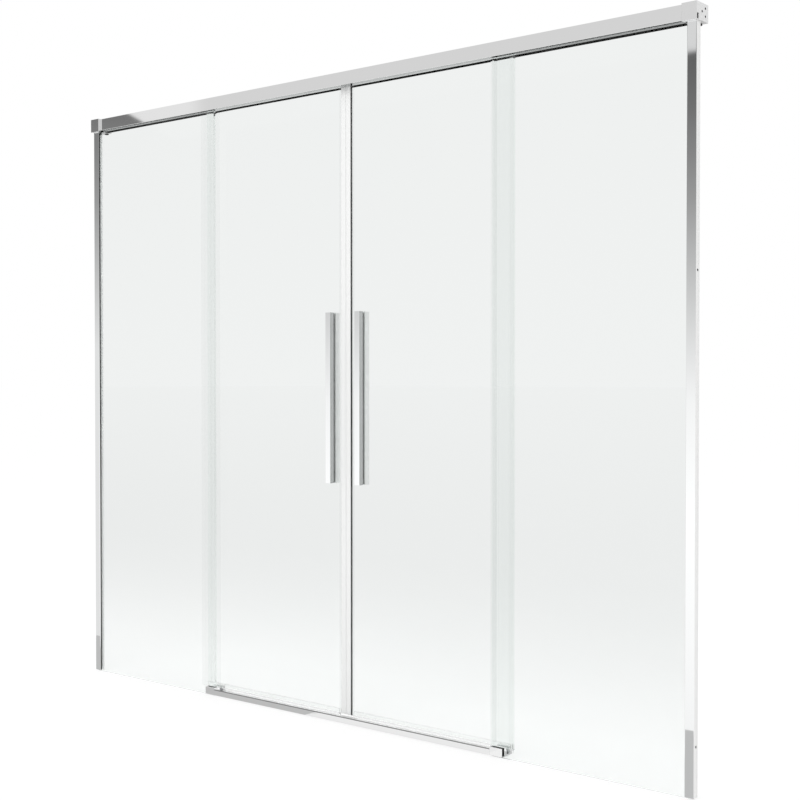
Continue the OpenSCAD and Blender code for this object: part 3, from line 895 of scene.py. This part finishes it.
@dataclass
class Header:
    """The top rail with its caps, gaskets, cover strip and stops."""

    edge_r: float = 0.5
    hollow_half: float = 19.4
    hollow_z: Span = (1470.4, 1498.0)
    web_foot: float = 10.0
    rear_foot: float = 38.5
    stop_r: float = 1.0
    cap_r: float = 1.0
    hole_from: float = 896.0
    hole_side: float = 0.8
    hole_reach: float = 2.6
    wall_holes: tuple[Point2, ...] = ((9.0, 1476.5), (9.0, 1491.5), (-4.0, 1484.0))
    front_gasket: Span = (5.5, 2.0)
    rear_gasket: Span = (11.5, 14.0)
    gasket_z: Span = (1469.0, 1480.0)
    gasket_x: Span = (439.2, 868.3)
    rib: float = 0.5
    rib_count: int = 3
    low_rib: Span = (0.8, 1.8)
    rib_bends: tuple[float, float, float, float] = (-0.9, -0.3, 0.3, 1.0)
    gasket_lip: float = 0.6
    screw_place: Point3 = (884.25, 36.8, 1466.0)
    screw_r: float = 1.99
    screw_len: float = 2.9
    head_r: float = 5.2
    head: float = 2.2
    head_corner: float = 0.5
    head_gap: float = 0.02
    socket_r: float = 2.3
    socket_deep: float = 0.8

    def ribbed(self, depth: Span) -> list[Point2]:
        """The outline of a gasket whose ribs press on the pane.

        Args:
            depth: the depths of its face on the pane and of its back.

        Returns:
            The outline in (depth, z).
        """
        near, far = depth
        root = near + (self.rib if far > near else -self.rib)
        low, high = self.gasket_z
        outline = [(far, low), (root, low), *((near, low + z) for z in self.low_rib)]
        for k in range(1, self.rib_count):
            z = low + k * ((high - low) / self.rib_count)
            outline += [(d, z + bend) for d, bend in zip((root, root, near, near), self.rib_bends)]
        return outline + [(root, high - self.gasket_lip), (root, high), (far, high)]

    def gaskets(self) -> None:
        """The black strips in front of the fixed panes and the light ones behind them."""
        for node, depth, paint in (("header_front_gaskets", self.front_gasket, "front_gasket"),
                                   ("header_rear_gaskets", self.rear_gasket, None)):
            halves = [extruded([self.ribbed(depth)], Along.X, self.gasket_x, side) for side in Side]
            finished(joined(halves), node, paint)

    def in_hole(self, centre: Vector, normal: Vector) -> bool:
        """Whether a face of a cap lies in one of its wall holes.

        Args:
            centre: the face's centre.
            normal: its normal.

        Returns:
            True in a hole.
        """
        off = min(math.hypot(centre.y - y * MM, centre.z - z * MM) for y, z in self.wall_holes)
        return (abs(normal.x) < self.hole_side and abs(centre.x) > self.hole_from * MM
                and off < self.hole_reach * MM)

    def caps(self) -> None:
        """The plated end caps, with a rough cast face against the wall and painted shade in their screw
        holes.
        """
        for side in Side:
            cap = soft_node(f"header_end_cap_{side.word}", self.cap_r, 3)
            paint_faces(cap, "cast_face", lambda centre, normal: normal.x * side.sign > STRAIGHT)
            paint_faces(cap, "cap_foot", lambda centre, normal: normal.z < -STRAIGHT)
            # Painted shade: the screw holes' walls are painted near-black.
            paint_faces(cap, "hole_shade", self.in_hole)

    def cap_screws(self) -> None:
        """The flat black screw under each cap."""
        where = spot(*self.screw_place)
        outline = [(0, -self.head), (self.head_r - self.head_corner, -self.head),
                   (self.head_r, self.head_corner - self.head), (self.head_r, -self.head_gap),
                   (self.screw_r, -self.head_gap), (self.screw_r, self.screw_len), (0, self.screw_len)]
        socket = (-self.head - 1, self.socket_deep - self.head)
        screw = carved(turned(outline, where, Along.Z), socket_cutter(self.socket_r, where, Along.Z, socket))
        Rows.repeat(screw, "black_plastic", (2, (-2 * self.screw_place[0], 0, 0)))
        finished(screw, "cap_screws", "black_plastic")

    def rail(self) -> None:
        """The rail, with near-black painted shade inside it and under its rear wall, and a darker metal
        painted shade under its middle.
        """
        rail = soft_node("header_rail", self.edge_r, 3)
        low, high = (z * MM for z in self.hollow_z)
        # Painted shade: the rail's hollow is painted near-black.
        paint_faces(rail, "black_and_painted_shade", lambda centre, normal: abs(centre.y) < self.hollow_half * MM
                    and low < centre.z < high)
        # Painted shade: a darker grey metal under the rail's middle.
        paint_faces(rail, "shaded_rail_foot", lambda centre, normal: centre.y > behind(self.web_foot)
                    and normal.z < -STRAIGHT and centre.z < low)
        # Painted shade: near-black under the rail's rear wall.
        paint_faces(rail, "black_and_painted_shade", lambda centre, normal: centre.y > behind(self.rear_foot)
                    and normal.z < -PARTLY)

    def build(self) -> None:
        """Builds every piece of the header."""
        self.rail()
        # The cover strip is painted a darker metal: painted shade under the header.
        soft_node("header_cover_strip", self.edge_r / 2, paint="shaded_strip_metal")
        soft_node("track_end_stops", self.stop_r, 3)
        self.gaskets()
        self.caps()
        self.cap_screws()


@dataclass
class WallProfiles:
    """The two channels on the walls and the strips that hold the panes in them."""

    back_x: float = 897.0
    tape_from: float = 896.4
    lip_x: float = 877.6
    pane_middle: float = 8.5
    groove: Span = (1.3, 11.6)
    groove_deep: float = 0.4
    foot: float = 3.0
    top: float = 1462.0
    rise: float = 3.9
    edge_r: float = 0.2
    strip_r: float = 0.4

    def profile(self, side: Side) -> None:
        """One channel, with a shallow glue groove and white tape on its back.

        Args:
            side: the channel's side.
        """
        node = f"wall_profile_{side.word}"
        near, far = self.groove
        bottom, outside = self.back_x - self.groove_deep, self.back_x + 1
        outline = [(bottom, near), (outside, near), (outside, far), (bottom, far)]
        cutter = extruded([outline], Along.Z, (self.foot - 1, self.top + self.rise + 1), side)
        profile = carved(raised(cad_copy(node), self.top - 1, self.rise), cutter)
        finished(softened(profile, self.edge_r), node, "upright_metal")
        lip, middle = self.lip_x * MM, behind(self.pane_middle)
        paint_faces(profile, "white_tape", lambda centre, normal: normal.x * side.sign > STRAIGHT
                    and abs(centre.x) > self.tape_from * MM)
        # Painted shade on the channel's inner side in front of the pane.
        paint_faces(profile, "black_and_painted_shade", lambda centre, normal: normal.x * side.sign < -STRAIGHT
                    and abs(centre.x) < lip and centre.y < middle)
        # Painted light on the channel's inner side behind the pane.
        paint_faces(profile, "trough", lambda centre, normal: normal.x * side.sign < -PARTLY
                    and abs(centre.x) < lip and centre.y > middle)

    def build(self) -> None:
        """Builds both channels and the strips."""
        for side in Side:
            self.profile(side)
        # The strips are painted pale as painted light, with painted shade on their sides in front of the
        # pane.
        strips = soft_node("wall_profile_gaskets", self.strip_r, paint="trough")
        paint_faces(strips, "black_and_painted_shade", lambda centre, normal: centre.y < behind(self.pane_middle)
                    and abs(normal.x) > MOSTLY)


@dataclass
class FixedPanes:
    """The fixed panes and the clear clips on their inner edges."""

    arris: float = 0.4
    clip_r: float = 0.35
    clip_top: float = 1460.0
    clip_rise: float = 1.9

    def build(self) -> None:
        """Builds the panes with ground edges, and their clips."""
        for side in Side:
            ground(f"fixed_glass_{side.word}", self.arris)
            clip = soft_node(f"overlap_seal_{side.word}", self.clip_r, clear=True)
            raised(clip, self.clip_top, self.clip_rise)


@dataclass
class Threshold:
    """The low rail between the fixed panes, its brackets, gaskets, guides and tape."""

    rail_r: float = 0.3
    lip_z: float = 16.4
    lip_t: float = 3.0
    lip_chamfer: float = 1.6
    tape_r: float = 0.4
    gasket_r: float = 0.25
    bracket_r: float = 0.6
    guide_r: float = 0.4
    guide_depth: float = 27.0
    groove_half: float = 2.6

    def rail(self) -> None:
        """The rail, with a chamfer along its front lip painted dark as painted shade, and its trough behind
        it painted pale as painted light.
        """
        front, top = behind(ONE_FACE), (self.lip_z - ONE_FACE) * MM
        rail = chamfered(cad_copy("threshold_rail"), self.lip_chamfer, lambda middle, along:
                         middle.y < front and middle.z > top and abs(along.x) > STRAIGHT)
        finished(softened(rail, self.rail_r, angle=50.0), "threshold_rail")
        trough = behind(self.lip_t - 2 * ONE_FACE)
        # Painted light: the trough's floor and the faces in it that face the room are painted pale.
        paint_faces(rail, "trough", lambda centre, normal: centre.y > trough
                    and (normal.z > MOSTLY or normal.y < -MOSTLY))
        # Painted shade: the lip's chamfer is painted dark.
        paint_faces(rail, "lip_shade", lambda centre, normal: centre.y < behind(self.lip_chamfer)
                    and normal.y < -PARTLY and normal.z > PARTLY)

    def build(self) -> None:
        """Builds the threshold's pieces."""
        self.rail()
        soft_node("threshold_tape", self.tape_r)
        # The bracket gaskets are black rubber, in the near-black that elsewhere is painted shade.
        soft_node("bracket_gaskets", self.gasket_r, paint="black_and_painted_shade")
        for side in Side:
            soft_node(f"end_bracket_{side.word}", self.bracket_r, 3)
            guide = soft_node(f"bottom_guide_{side.word}", self.guide_r)
            # Painted shade: the guide's groove is painted near-black.
            paint_faces(guide, "black_and_painted_shade", lambda centre, normal: abs(normal.x) < MOSTLY
                        and abs(centre.y - behind(self.guide_depth)) < self.groove_half * MM)


# Sliding parts


@dataclass
class Roller:
    """One wheel in the header: a grooved plastic tyre round a small ball bearing."""

    side: Side
    place: str
    x: float
    depth: float = 19.5
    z: float = 1482.2
    tyre_r: float = 9.0
    tyre_bevel: float = 0.35
    tread_r: float = 7.5
    half_w: float = 2.6
    half_groove: float = 1.6
    groove_lip: float = 0.2
    # The groove's rounding, as steps out from the tread and in from the groove's side.
    groove_bends: tuple[Point2, ...] = ((0.5, 0.15), (0.0, 0.6))
    bore_r: float = 3.05
    ring_w: float = 1.0
    ring_slope: float = 0.1
    ring_sunk: float = 0.35
    shield_r: float = 6.0
    shield_sunk: float = 0.6
    corner: float = 0.3
    edge_r: float = 0.12
    facets: int = 64

    def outline(self) -> list[Point2]:
        """Half the wheel's section, from the bore over one face to the groove, and its mirror image.

        Returns:
            The outline as (radius, distance from the wheel's middle).
        """
        w, g, c = self.half_w, self.half_groove, self.corner
        ring_r, ring, shield = self.bore_r + self.ring_w, w - self.ring_sunk, w - self.shield_sunk
        half = [(self.bore_r, ring), (ring_r, ring), (ring_r + self.ring_slope, shield),
                (self.shield_r - c, shield), (self.shield_r, w - c), (self.shield_r + c, w),
                (self.tyre_r - self.tyre_bevel, w), (self.tyre_r, w - c), (self.tyre_r, g + self.groove_lip),
                (self.tyre_r - c, g), *((self.tread_r + out, g - into) for out, into in self.groove_bends)]
        return half + [(r, -a) for r, a in reversed(half)]

    def build(self) -> None:
        """Builds the wheel with a rounded groove and a sunk bearing shield on each face."""
        centre = spot(self.x * self.side.sign, self.depth, self.z)
        wheel = softened(turned(self.outline(), centre, Along.Y, self.facets), self.edge_r, angle=30.0)
        finished(wheel, f"roller_{self.side.word}_{self.place}")
        paint_faces(wheel, "steel", lambda where, normal:
                    Vector((where.x - centre.x, where.z - centre.z)).length < self.shield_r * MM)


@dataclass
class Door:
    """One sliding pane with its seals, handle, hangers and rollers."""

    side: Side
    arris: float = 0.6
    # The depths of the pane's faces.
    pane: Span = (24.0, 30.0)
    seal_r: float = 0.3
    seal_wall: float = 1.2
    nose: Span = (0.3, 14.43)
    nose_edge: float = 0.2
    # The roundings of the nose's corners and of the legs' tips, as shares of the seal's wall.
    nose_corner: float = 0.4
    leg_tip: float = 0.45
    leg_from: float = 14.44
    edge_strip: Span = (14.43, 14.49)
    strip_edge: float = 0.1
    grip: float = 21.0
    magnet_w: float = 3.0
    magnet_half: float = 3.5
    magnet_r: float = 0.3
    seal_z: Span = (17.0, 1468.9)
    wiper_x: Span = (21.2, 468.0)
    wiper_z: tuple[float, float, float, float] = (9.0, 15.0, 17.0, 27.0)
    wiper_r: float = 0.15
    # Half the thickness of the wiper's lip at its root and at its tip.
    lip_half: Span = (0.6, 0.35)
    # The slope inside the wiper's mouth, across and down.
    mouth: Span = (0.3, 0.8)
    bar_r: float = 0.35
    bar_end: float = 940.0
    bar_rise: float = 2.0
    pad_r: float = 0.3
    bush_r: float = 0.15
    handle_x: float = 45.0
    stud_z: Span = (578.0, 924.0)
    stud_r: float = 2.99
    stud_depth: Span = (14.0, 39.0)
    stud_corner: float = 0.5
    stud_facets: int = 24
    # The stud's thread: its first turn, its pitch, its depth and where the plain shank starts.
    thread: tuple[float, float, float, float] = (1.2, 0.9, 0.35, 7.5)
    thread_turns: int = 6
    hangers: Span = (104.5, 383.0)
    hanger_r: float = 0.35
    clamp_r: float = 0.4
    axle_r: float = 0.15
    clamp_z: float = 1480.0
    clamp_half: float = 17.0
    screw_depth: tuple[float, float, float] = (22.5, 32.0, 33.7)
    screw_r: Span = (2.49, 4.0)
    # The rounding of a screw's head, as steps in from its side and down from its top.
    crown: tuple[Point2, ...] = ((0.0, 0.7), (0.25, 0.25), (0.8, 0.0))
    screw_edge: float = 0.08
    socket_r: float = 2.0
    socket_deep: float = 1.1

    def node(self, part: str) -> str:
        """The frame's name for one of this side's parts."""
        return f"{part}_{self.side.word}"

    @property
    def cover(self) -> Span:
        """The depths of the outer faces of a seal that grips the pane."""
        return self.pane[0] - self.seal_wall, self.pane[1] + self.seal_wall

    def meeting_edge(self) -> None:
        """The white nose that closes on the other door, with its magnet and the dark strip behind it."""
        (face, rear), (front, back) = self.pane, self.cover
        middle = (front + back) / 2
        inner, outer = self.nose
        deep, near, far = inner + self.magnet_w, middle - self.magnet_half, middle + self.magnet_half
        corner, tip = self.seal_wall * self.nose_corner, self.seal_wall * self.leg_tip
        nose = filleted([(inner, front), (outer, front), (outer, back), (inner, back), (inner, far),
                         (deep, far), (deep, near), (inner, near)], [corner] * 4 + [0] * 4)
        legs = [filleted([(outer, a), (self.grip, a), (self.grip, b), (outer, b)], [0, tip, tip, 0])
                for a, b in ((front, face), (rear, back))]
        seal = extruded([nose, *legs], Along.Z, self.seal_z, self.side)
        finished(softened(seal, self.nose_edge, angle=60.0), self.node("meeting_seal"))
        paint_faces(seal, "clear_seal", lambda centre, normal: abs(centre.x) > self.leg_from * MM)
        soft_node(self.node("magnet_strip"), self.magnet_r)
        start, end = self.edge_strip
        strip = [(start, face), (end, face), (end, rear), (start, rear)]
        strip = extruded([strip], Along.Z, self.seal_z, self.side)
        finished(softened(strip, self.strip_edge, angle=60.0), self.node("edge_gasket"))

    def wiper(self) -> None:
        """The clear strip under the pane, with a tapered lip that runs in the guide."""
        tip, base, glass_z, top = self.wiper_z
        (face, rear), (front, back) = self.pane, self.cover
        middle = (front + back) / 2
        root, end = self.lip_half
        across, down = self.mouth
        outline = [(front, base), (middle - root, base), (middle - end, tip), (middle + end, tip),
                   (middle + root, base), (back, base), (back, top), (rear + across, top), (rear, top - down),
                   (rear, glass_z), (face, glass_z), (face, top - down), (face - across, top), (front, top)]
        seal = extruded([outline], Along.X, self.wiper_x, self.side)
        finished(softened(seal, self.wiper_r), self.node("bottom_wiper"), "clear_lip", clear=True)

    def studs(self) -> None:
        """The two threaded studs that hold the bars."""
        low, high = self.stud_depth
        r, c = self.stud_r, self.stud_corner
        first, pitch, deep, plain = self.thread
        outline = [(0, low), (r - c, low), (r, low + c)]
        for k in range(self.thread_turns):
            turn = low + first + k * pitch
            outline += [(r, turn), (r - deep, turn + pitch / 2)]
        outline += [(r, low + plain), (r, high - c), (r - c, high), (0, high)]
        bottom, top = self.stud_z
        centre = spot(self.handle_x * self.side.sign, 0.0, bottom)
        stud = turned(outline, centre, Along.Y, self.stud_facets)
        Rows.repeat(stud, "steel", (2, (0, 0, top - bottom)))
        finished(stud, self.node("handle_studs"))

    def handle(self) -> None:
        """The bars on both sides of the pane, with their pads, bushes and studs; the bars' sides get painted
        shade in front of the pane and painted light behind it.
        """
        # Painted shade on the outer bar's sides and painted light on the inner bar's sides.
        for part, sides in (("handle_outer_bar", "shaded_bar_side"), ("handle_inner_bar", "lit_bar_side")):
            bar = soft_node(self.node(part), self.bar_r, 3, "upright_metal")
            raised(bar, self.bar_end, self.bar_rise)
            paint_faces(bar, sides, lambda centre, normal: abs(normal.x) > STRAIGHT)
        pads = soft_node(self.node("handle_gaskets"), self.pad_r, paint="handle_gasket")
        raised(pads, self.bar_end, self.bar_rise)
        # Painted light: the pads behind the pane are painted paler than those in front.
        middle = behind(sum(self.pane) / 2)
        paint_faces(pads, "lit_pad", lambda centre, normal: centre.y > middle)
        soft_node(self.node("handle_bushes"), self.bush_r)
        self.studs()

    def clamp_screws(self) -> None:
        """The two socket screws in each clamp plate."""
        start, plate, head = self.screw_depth
        shank, cap = self.screw_r
        sign = self.side.sign
        inner, outer = self.hangers
        centre = spot((inner - self.clamp_half) * sign, 0.0, self.clamp_z)
        outline = [(0, start), (shank, start), (shank, plate), (cap, plate),
                   *((cap - across, head - down) for across, down in self.crown), (0, head)]
        cutter = socket_cutter(self.socket_r, centre, Along.Y, (head - self.socket_deep, head + 1))
        screw = carved(turned(outline, centre, Along.Y), cutter)
        softened(screw, self.screw_edge, steps=1, angle=50.0)
        across, along = (2 * self.clamp_half * sign, 0, 0), ((outer - inner) * sign, 0, 0)
        Rows.repeat(screw, "steel", (2, across), (2, along))
        finished(screw, self.node("clamp_screws"))

    def hanging(self) -> None:
        """The hanger and clamp plates with their screws and axles, and the rollers."""
        for part, width in (("hangers", self.hanger_r), ("clamp_plates", self.clamp_r),
                            ("roller_axles", self.axle_r)):
            soft_node(self.node(part), width)
        self.clamp_screws()
        for place, x in zip(("inner", "outer"), self.hangers):
            Roller(self.side, place, x).build()

    def build(self) -> None:
        """Builds the pane and everything that slides with it."""
        pane = ground(self.node("door_glass"), self.arris)
        # Painted shade: the pane's end at the meeting edge is painted black rubber, for the dark edge of the
        # glass against the gasket.
        paint_faces(pane, "front_gasket", lambda centre, normal: normal.x * self.side.sign < -STRAIGHT)
        self.meeting_edge()
        self.wiper()
        soft_node(self.node("door_edge_seal"), self.seal_r, paint="thin_seal", clear=True)
        self.handle()
        self.hanging()


# Studio


@dataclass(frozen=True)
class Ramp:
    """A tone that changes along a measure, as (place, tone) stops."""

    stops: tuple[Point2, ...]

    def tone(self, nodes: Nodes, source: Socket) -> Socket:
        """Builds the ramp.

        Args:
            nodes: the node tree.
            source: the socket that holds the measure.

        Returns:
            The socket that holds the tone.
        """
        low, high = self.stops[0][0], self.stops[-1][0]
        spread = nodes.add("ShaderNodeMapRange", {"Value": source, "From Min": low, "From Max": high})
        ramp = nodes.add("ShaderNodeValToRGB", {"Fac": spread.outputs["Result"]})
        marks = ramp.color_ramp.elements
        while len(marks) < len(self.stops):
            marks.new(0.5)
        for mark, (place, tone) in zip(marks, self.stops):
            mark.position = (place - low) / (high - low)
            mark.color = (tone, tone, tone, 1.0)
        return ramp.outputs["Color"]


@dataclass(frozen=True)
class Mat:
    """A grey mat on the floor in front of the screen, which only its polished metal shows."""

    left: float
    near_right: float
    far_right: float
    reach: float
    tone: float


@dataclass
class Studio:
    """The pale floor, the soft light, what the metal mirrors, and the camera."""

    focal_px: float = 1334.87
    image_px: float = 800.0
    sensor: float = 36.0
    shift_y: float = 0.0057
    yaw: float = 39.38
    pitch: float = 1.0
    eye: Point3 = (2.05675, -2.30555, 0.79089)
    clip: Span = (0.05, 400.0)
    # The world's tones: as light on the pieces, and as seen through the panes.
    ambient: float = 0.86
    through: float = 0.904
    # What the metal mirrors on the room's side and on the bath's, by the rise of the direction.
    front_sky: Ramp = Ramp(((-0.3, 0.89), (-0.235, 0.96), (-0.1, 1.06), (-0.015, 0.94), (0.059, 0.62),
                            (0.132, 0.33), (0.168, 0.235), (0.18, 0.215), (0.2, 0.165), (0.24, 0.115)))
    rear_sky: Ramp = Ramp(((-0.22, 0.56), (-0.1, 0.46), (0.06, 0.42), (0.15, 0.6), (0.26, 0.86)))
    # The floor through the panes, by the power of ten of its distance in metres.
    behind_glass: Ramp = Ramp(((-0.6, 0.716), (-0.35, 0.694), (-0.155, 0.666), (0.04, 0.633), (0.19, 0.615),
                               (0.34, 0.607), (0.54, 0.613), (0.85, 0.63), (1.2, 0.642), (1.85, 0.65)))
    # The room is at most as bright as the first tone far to the left, and as the second elsewhere.
    left_part: Span = (-1.2, -1.0)
    brightest: Span = (0.77, 1.2)
    # A bright zone high up: its two tones, where they meet, its foot and its leaning left edge.
    light_zone: Span = (0.80, 0.68)
    zone_change: Span = (-1.13, -1.09)
    zone_foot: Span = (0.267, 0.273)
    zone_edge: Span = (-0.607, -0.597)
    edge_lean: float = 2.02
    room_to_bath: Span = (-0.05, 0.05)
    least: float = 0.001
    # The floor's glow for the camera, and its paleness for light and for the eye.
    floor_glow: float = 0.76
    floor_shade: Span = (0.85, 0.28)
    floor_half: float = 150.0
    floor_z: float = -0.0002
    mat_z: float = 0.0004
    # The Y of the mats' near edge, and the Y that their reach is counted from.
    mat_edge: float = -0.024
    mat_start: float = -0.02
    mats: tuple[Mat, ...] = (Mat(-1.30, -0.117, 0.018, 0.315, 0.52), Mat(-0.117, 0.41, 0.41, 0.055, 0.86),
                             Mat(0.64, 0.90, 0.90, 0.455, 0.52))
    lamp_size: Span = (4.0, 2.5)
    lamp_power: float = 55.0
    lamp_place: Point3 = (0.6, -3.6, 3.4)
    lamp_aim: Point3 = (0.0, 0.0, 0.7)
    bounces: int = 32

    def camera(self) -> None:
        """Puts the camera where the photograph was taken."""
        data = bpy.data.cameras.new("camera")
        data.sensor_width = self.sensor
        data.lens = self.sensor * self.focal_px / self.image_px
        data.shift_y = self.shift_y
        data.clip_start, data.clip_end = self.clip
        cam = bpy.data.objects.new("camera", data)
        bpy.context.scene.collection.objects.link(cam)
        yaw, pitch = math.radians(self.yaw), math.radians(self.pitch)
        look = Vector((-math.sin(yaw) * math.cos(pitch), math.cos(yaw) * math.cos(pitch), -math.sin(pitch)))
        cam.location = self.eye
        cam.rotation_euler = look.to_track_quat("-Z", "Y").to_euler()
        bpy.context.scene.camera = cam

    def mirrored(self, nodes: Nodes) -> Socket:
        """The tone that polished metal sees in each direction round the screen.

        Args:
            nodes: the world's nodes.

        Returns:
            The tone's socket.
        """
        do, between, blend = nodes.do, nodes.between, nodes.blend
        way = nodes.add("ShaderNodeTexCoord").outputs["Generated"]
        x, y, z = nodes.add("ShaderNodeSeparateXYZ", {0: way}).outputs
        level = do("SQRT", do("ADD", do("MULTIPLY", x, x), do("MULTIPLY", y, y)))
        rise = do("DIVIDE", z, do("MAXIMUM", level, self.least))
        ahead = do("MAXIMUM", do("ABSOLUTE", y), self.least)
        across, up = do("DIVIDE", x, ahead), do("DIVIDE", z, ahead)
        limit = blend(between(across, *self.left_part), *self.brightest)
        front = do("MINIMUM", self.front_sky.tone(nodes, rise), limit)
        zone_tone = blend(between(across, *self.zone_change), *self.light_zone)
        leaning = do("ADD", across, do("MULTIPLY", up, self.edge_lean))
        in_zone = do("MULTIPLY", between(up, *self.zone_foot), between(leaning, *self.zone_edge))
        front = blend(in_zone, front, zone_tone)
        return blend(between(y, *self.room_to_bath), front, self.rear_sky.tone(nodes, rise))

    def world(self) -> None:
        """White where it is looked at, soft light elsewhere, and the mirrored surroundings for metal."""
        world = bpy.data.worlds.new("studio")
        bpy.context.scene.world = world
        nodes = Nodes(emptied(world))
        ray = nodes.add("ShaderNodeLightPath").outputs
        tone = nodes.blend(ray["Is Glossy Ray"], self.ambient, self.mirrored(nodes))
        tone = nodes.blend(ray["Is Transmission Ray"], tone, self.through)
        tone = nodes.blend(ray["Is Camera Ray"], tone, 1.0)
        light = nodes.add("ShaderNodeBackground", {"Strength": tone, "Color": (1.0, 1.0, 1.0, 1.0)})
        nodes.add("ShaderNodeOutputWorld", {"Surface": light.outputs[0]})

    def card(self, name: str, corners: Sequence[Sequence[float]],
             material: bpy.types.Material) -> bpy.types.Object:
        """A flat four-cornered stage piece.

        Args:
            name: the object's name.
            corners: its corners in metres.
            material: its material.

        Returns:
            The object.
        """
        mesh = bpy.data.meshes.new(name)
        mesh.from_pydata([tuple(c) for c in corners], [], [(0, 1, 2, 3)])
        mesh.materials.append(material)
        obj = new_object(mesh, name)
        return obj

    def floor(self) -> None:
        """The pale floor: white to the eye with a soft shadow, and a little darker through glass."""
        material = bpy.data.materials.new("pale_floor")
        nodes = Nodes(emptied(material))
        ray = nodes.add("ShaderNodeLightPath").outputs
        through, direct = ray["Is Transmission Ray"], ray["Is Camera Ray"]
        where = nodes.add("ShaderNodeTexCoord").outputs["Object"]
        off = nodes.add("ShaderNodeSeparateXYZ", {0: where}).outputs["Y"]
        fade = self.behind_glass.tone(nodes, nodes.do("LOGARITHM", nodes.do("ABSOLUTE", off), 10.0))
        seen = nodes.blend(direct, nodes.blend(through, 0.0, fade), self.floor_glow)
        shade = nodes.blend(nodes.do("MAXIMUM", through, direct), *self.floor_shade)
        glow = nodes.add("ShaderNodeEmission", {"Strength": seen}).outputs[0]
        matt = nodes.add("ShaderNodeBsdfDiffuse", {"Color": shade}).outputs[0]
        both = nodes.add("ShaderNodeAddShader", {0: glow, 1: matt}).outputs[0]
        nodes.add("ShaderNodeOutputMaterial", {"Surface": both})
        h = self.floor_half
        floor = self.card("floor", ((-h, -h, 0), (h, -h, 0), (h, h, 0), (-h, h, 0)), material)
        floor.location.z = self.floor_z
        floor.visible_glossy = False

    def reflectors(self) -> None:
        """Grey mats in front of the screen's foot, seen only in polished metal."""
        for k, mat in enumerate(self.mats):
            material = bpy.data.materials.new(f"grey_mat_{k}")
            nodes = Nodes(emptied(material))
            glow = nodes.add("ShaderNodeEmission", {"Strength": mat.tone})
            nodes.add("ShaderNodeOutputMaterial", {"Surface": glow.outputs[0]})
            near, far = self.mat_edge, self.mat_start - mat.reach
            plan = ((mat.left, far), (mat.far_right, far), (mat.near_right, near), (mat.left, near))
            obj = self.card(f"mat_{k}", [(x, y, self.mat_z) for x, y in plan], material)
            obj.visible_camera = obj.visible_diffuse = obj.visible_transmission = obj.visible_shadow = False

    def lamp(self) -> None:
        """One broad soft lamp above the front, not mirrored in the metal."""
        data = bpy.data.lights.new("soft_lamp", "AREA")
        data.shape = "RECTANGLE"
        data.size, data.size_y = self.lamp_size
        data.energy = self.lamp_power
        obj = bpy.data.objects.new("soft_lamp", data)
        bpy.context.scene.collection.objects.link(obj)
        obj.location = self.lamp_place
        obj.rotation_euler = (Vector(self.lamp_aim) - obj.location).to_track_quat("-Z", "Y").to_euler()
        obj.visible_glossy = False

    def build(self) -> None:
        """Sets the view, the world, the floor with its mats, the lamp and the camera."""
        scene = bpy.context.scene
        scene.view_settings.view_transform = "Standard"
        cycles = scene.cycles
        cycles.max_bounces = cycles.transmission_bounces = cycles.transparent_max_bounces = self.bounces
        self.world()
        self.floor()
        self.reflectors()
        self.lamp()
        self.camera()


def main() -> None:
    """Builds every piece, the studio and the camera."""
    for part in (Header(), WallProfiles(), FixedPanes(), Threshold(), Door(Side.LEFT), Door(Side.RIGHT)):
        part.build()
    Studio().build()


if __name__ == "__main__":
    main()
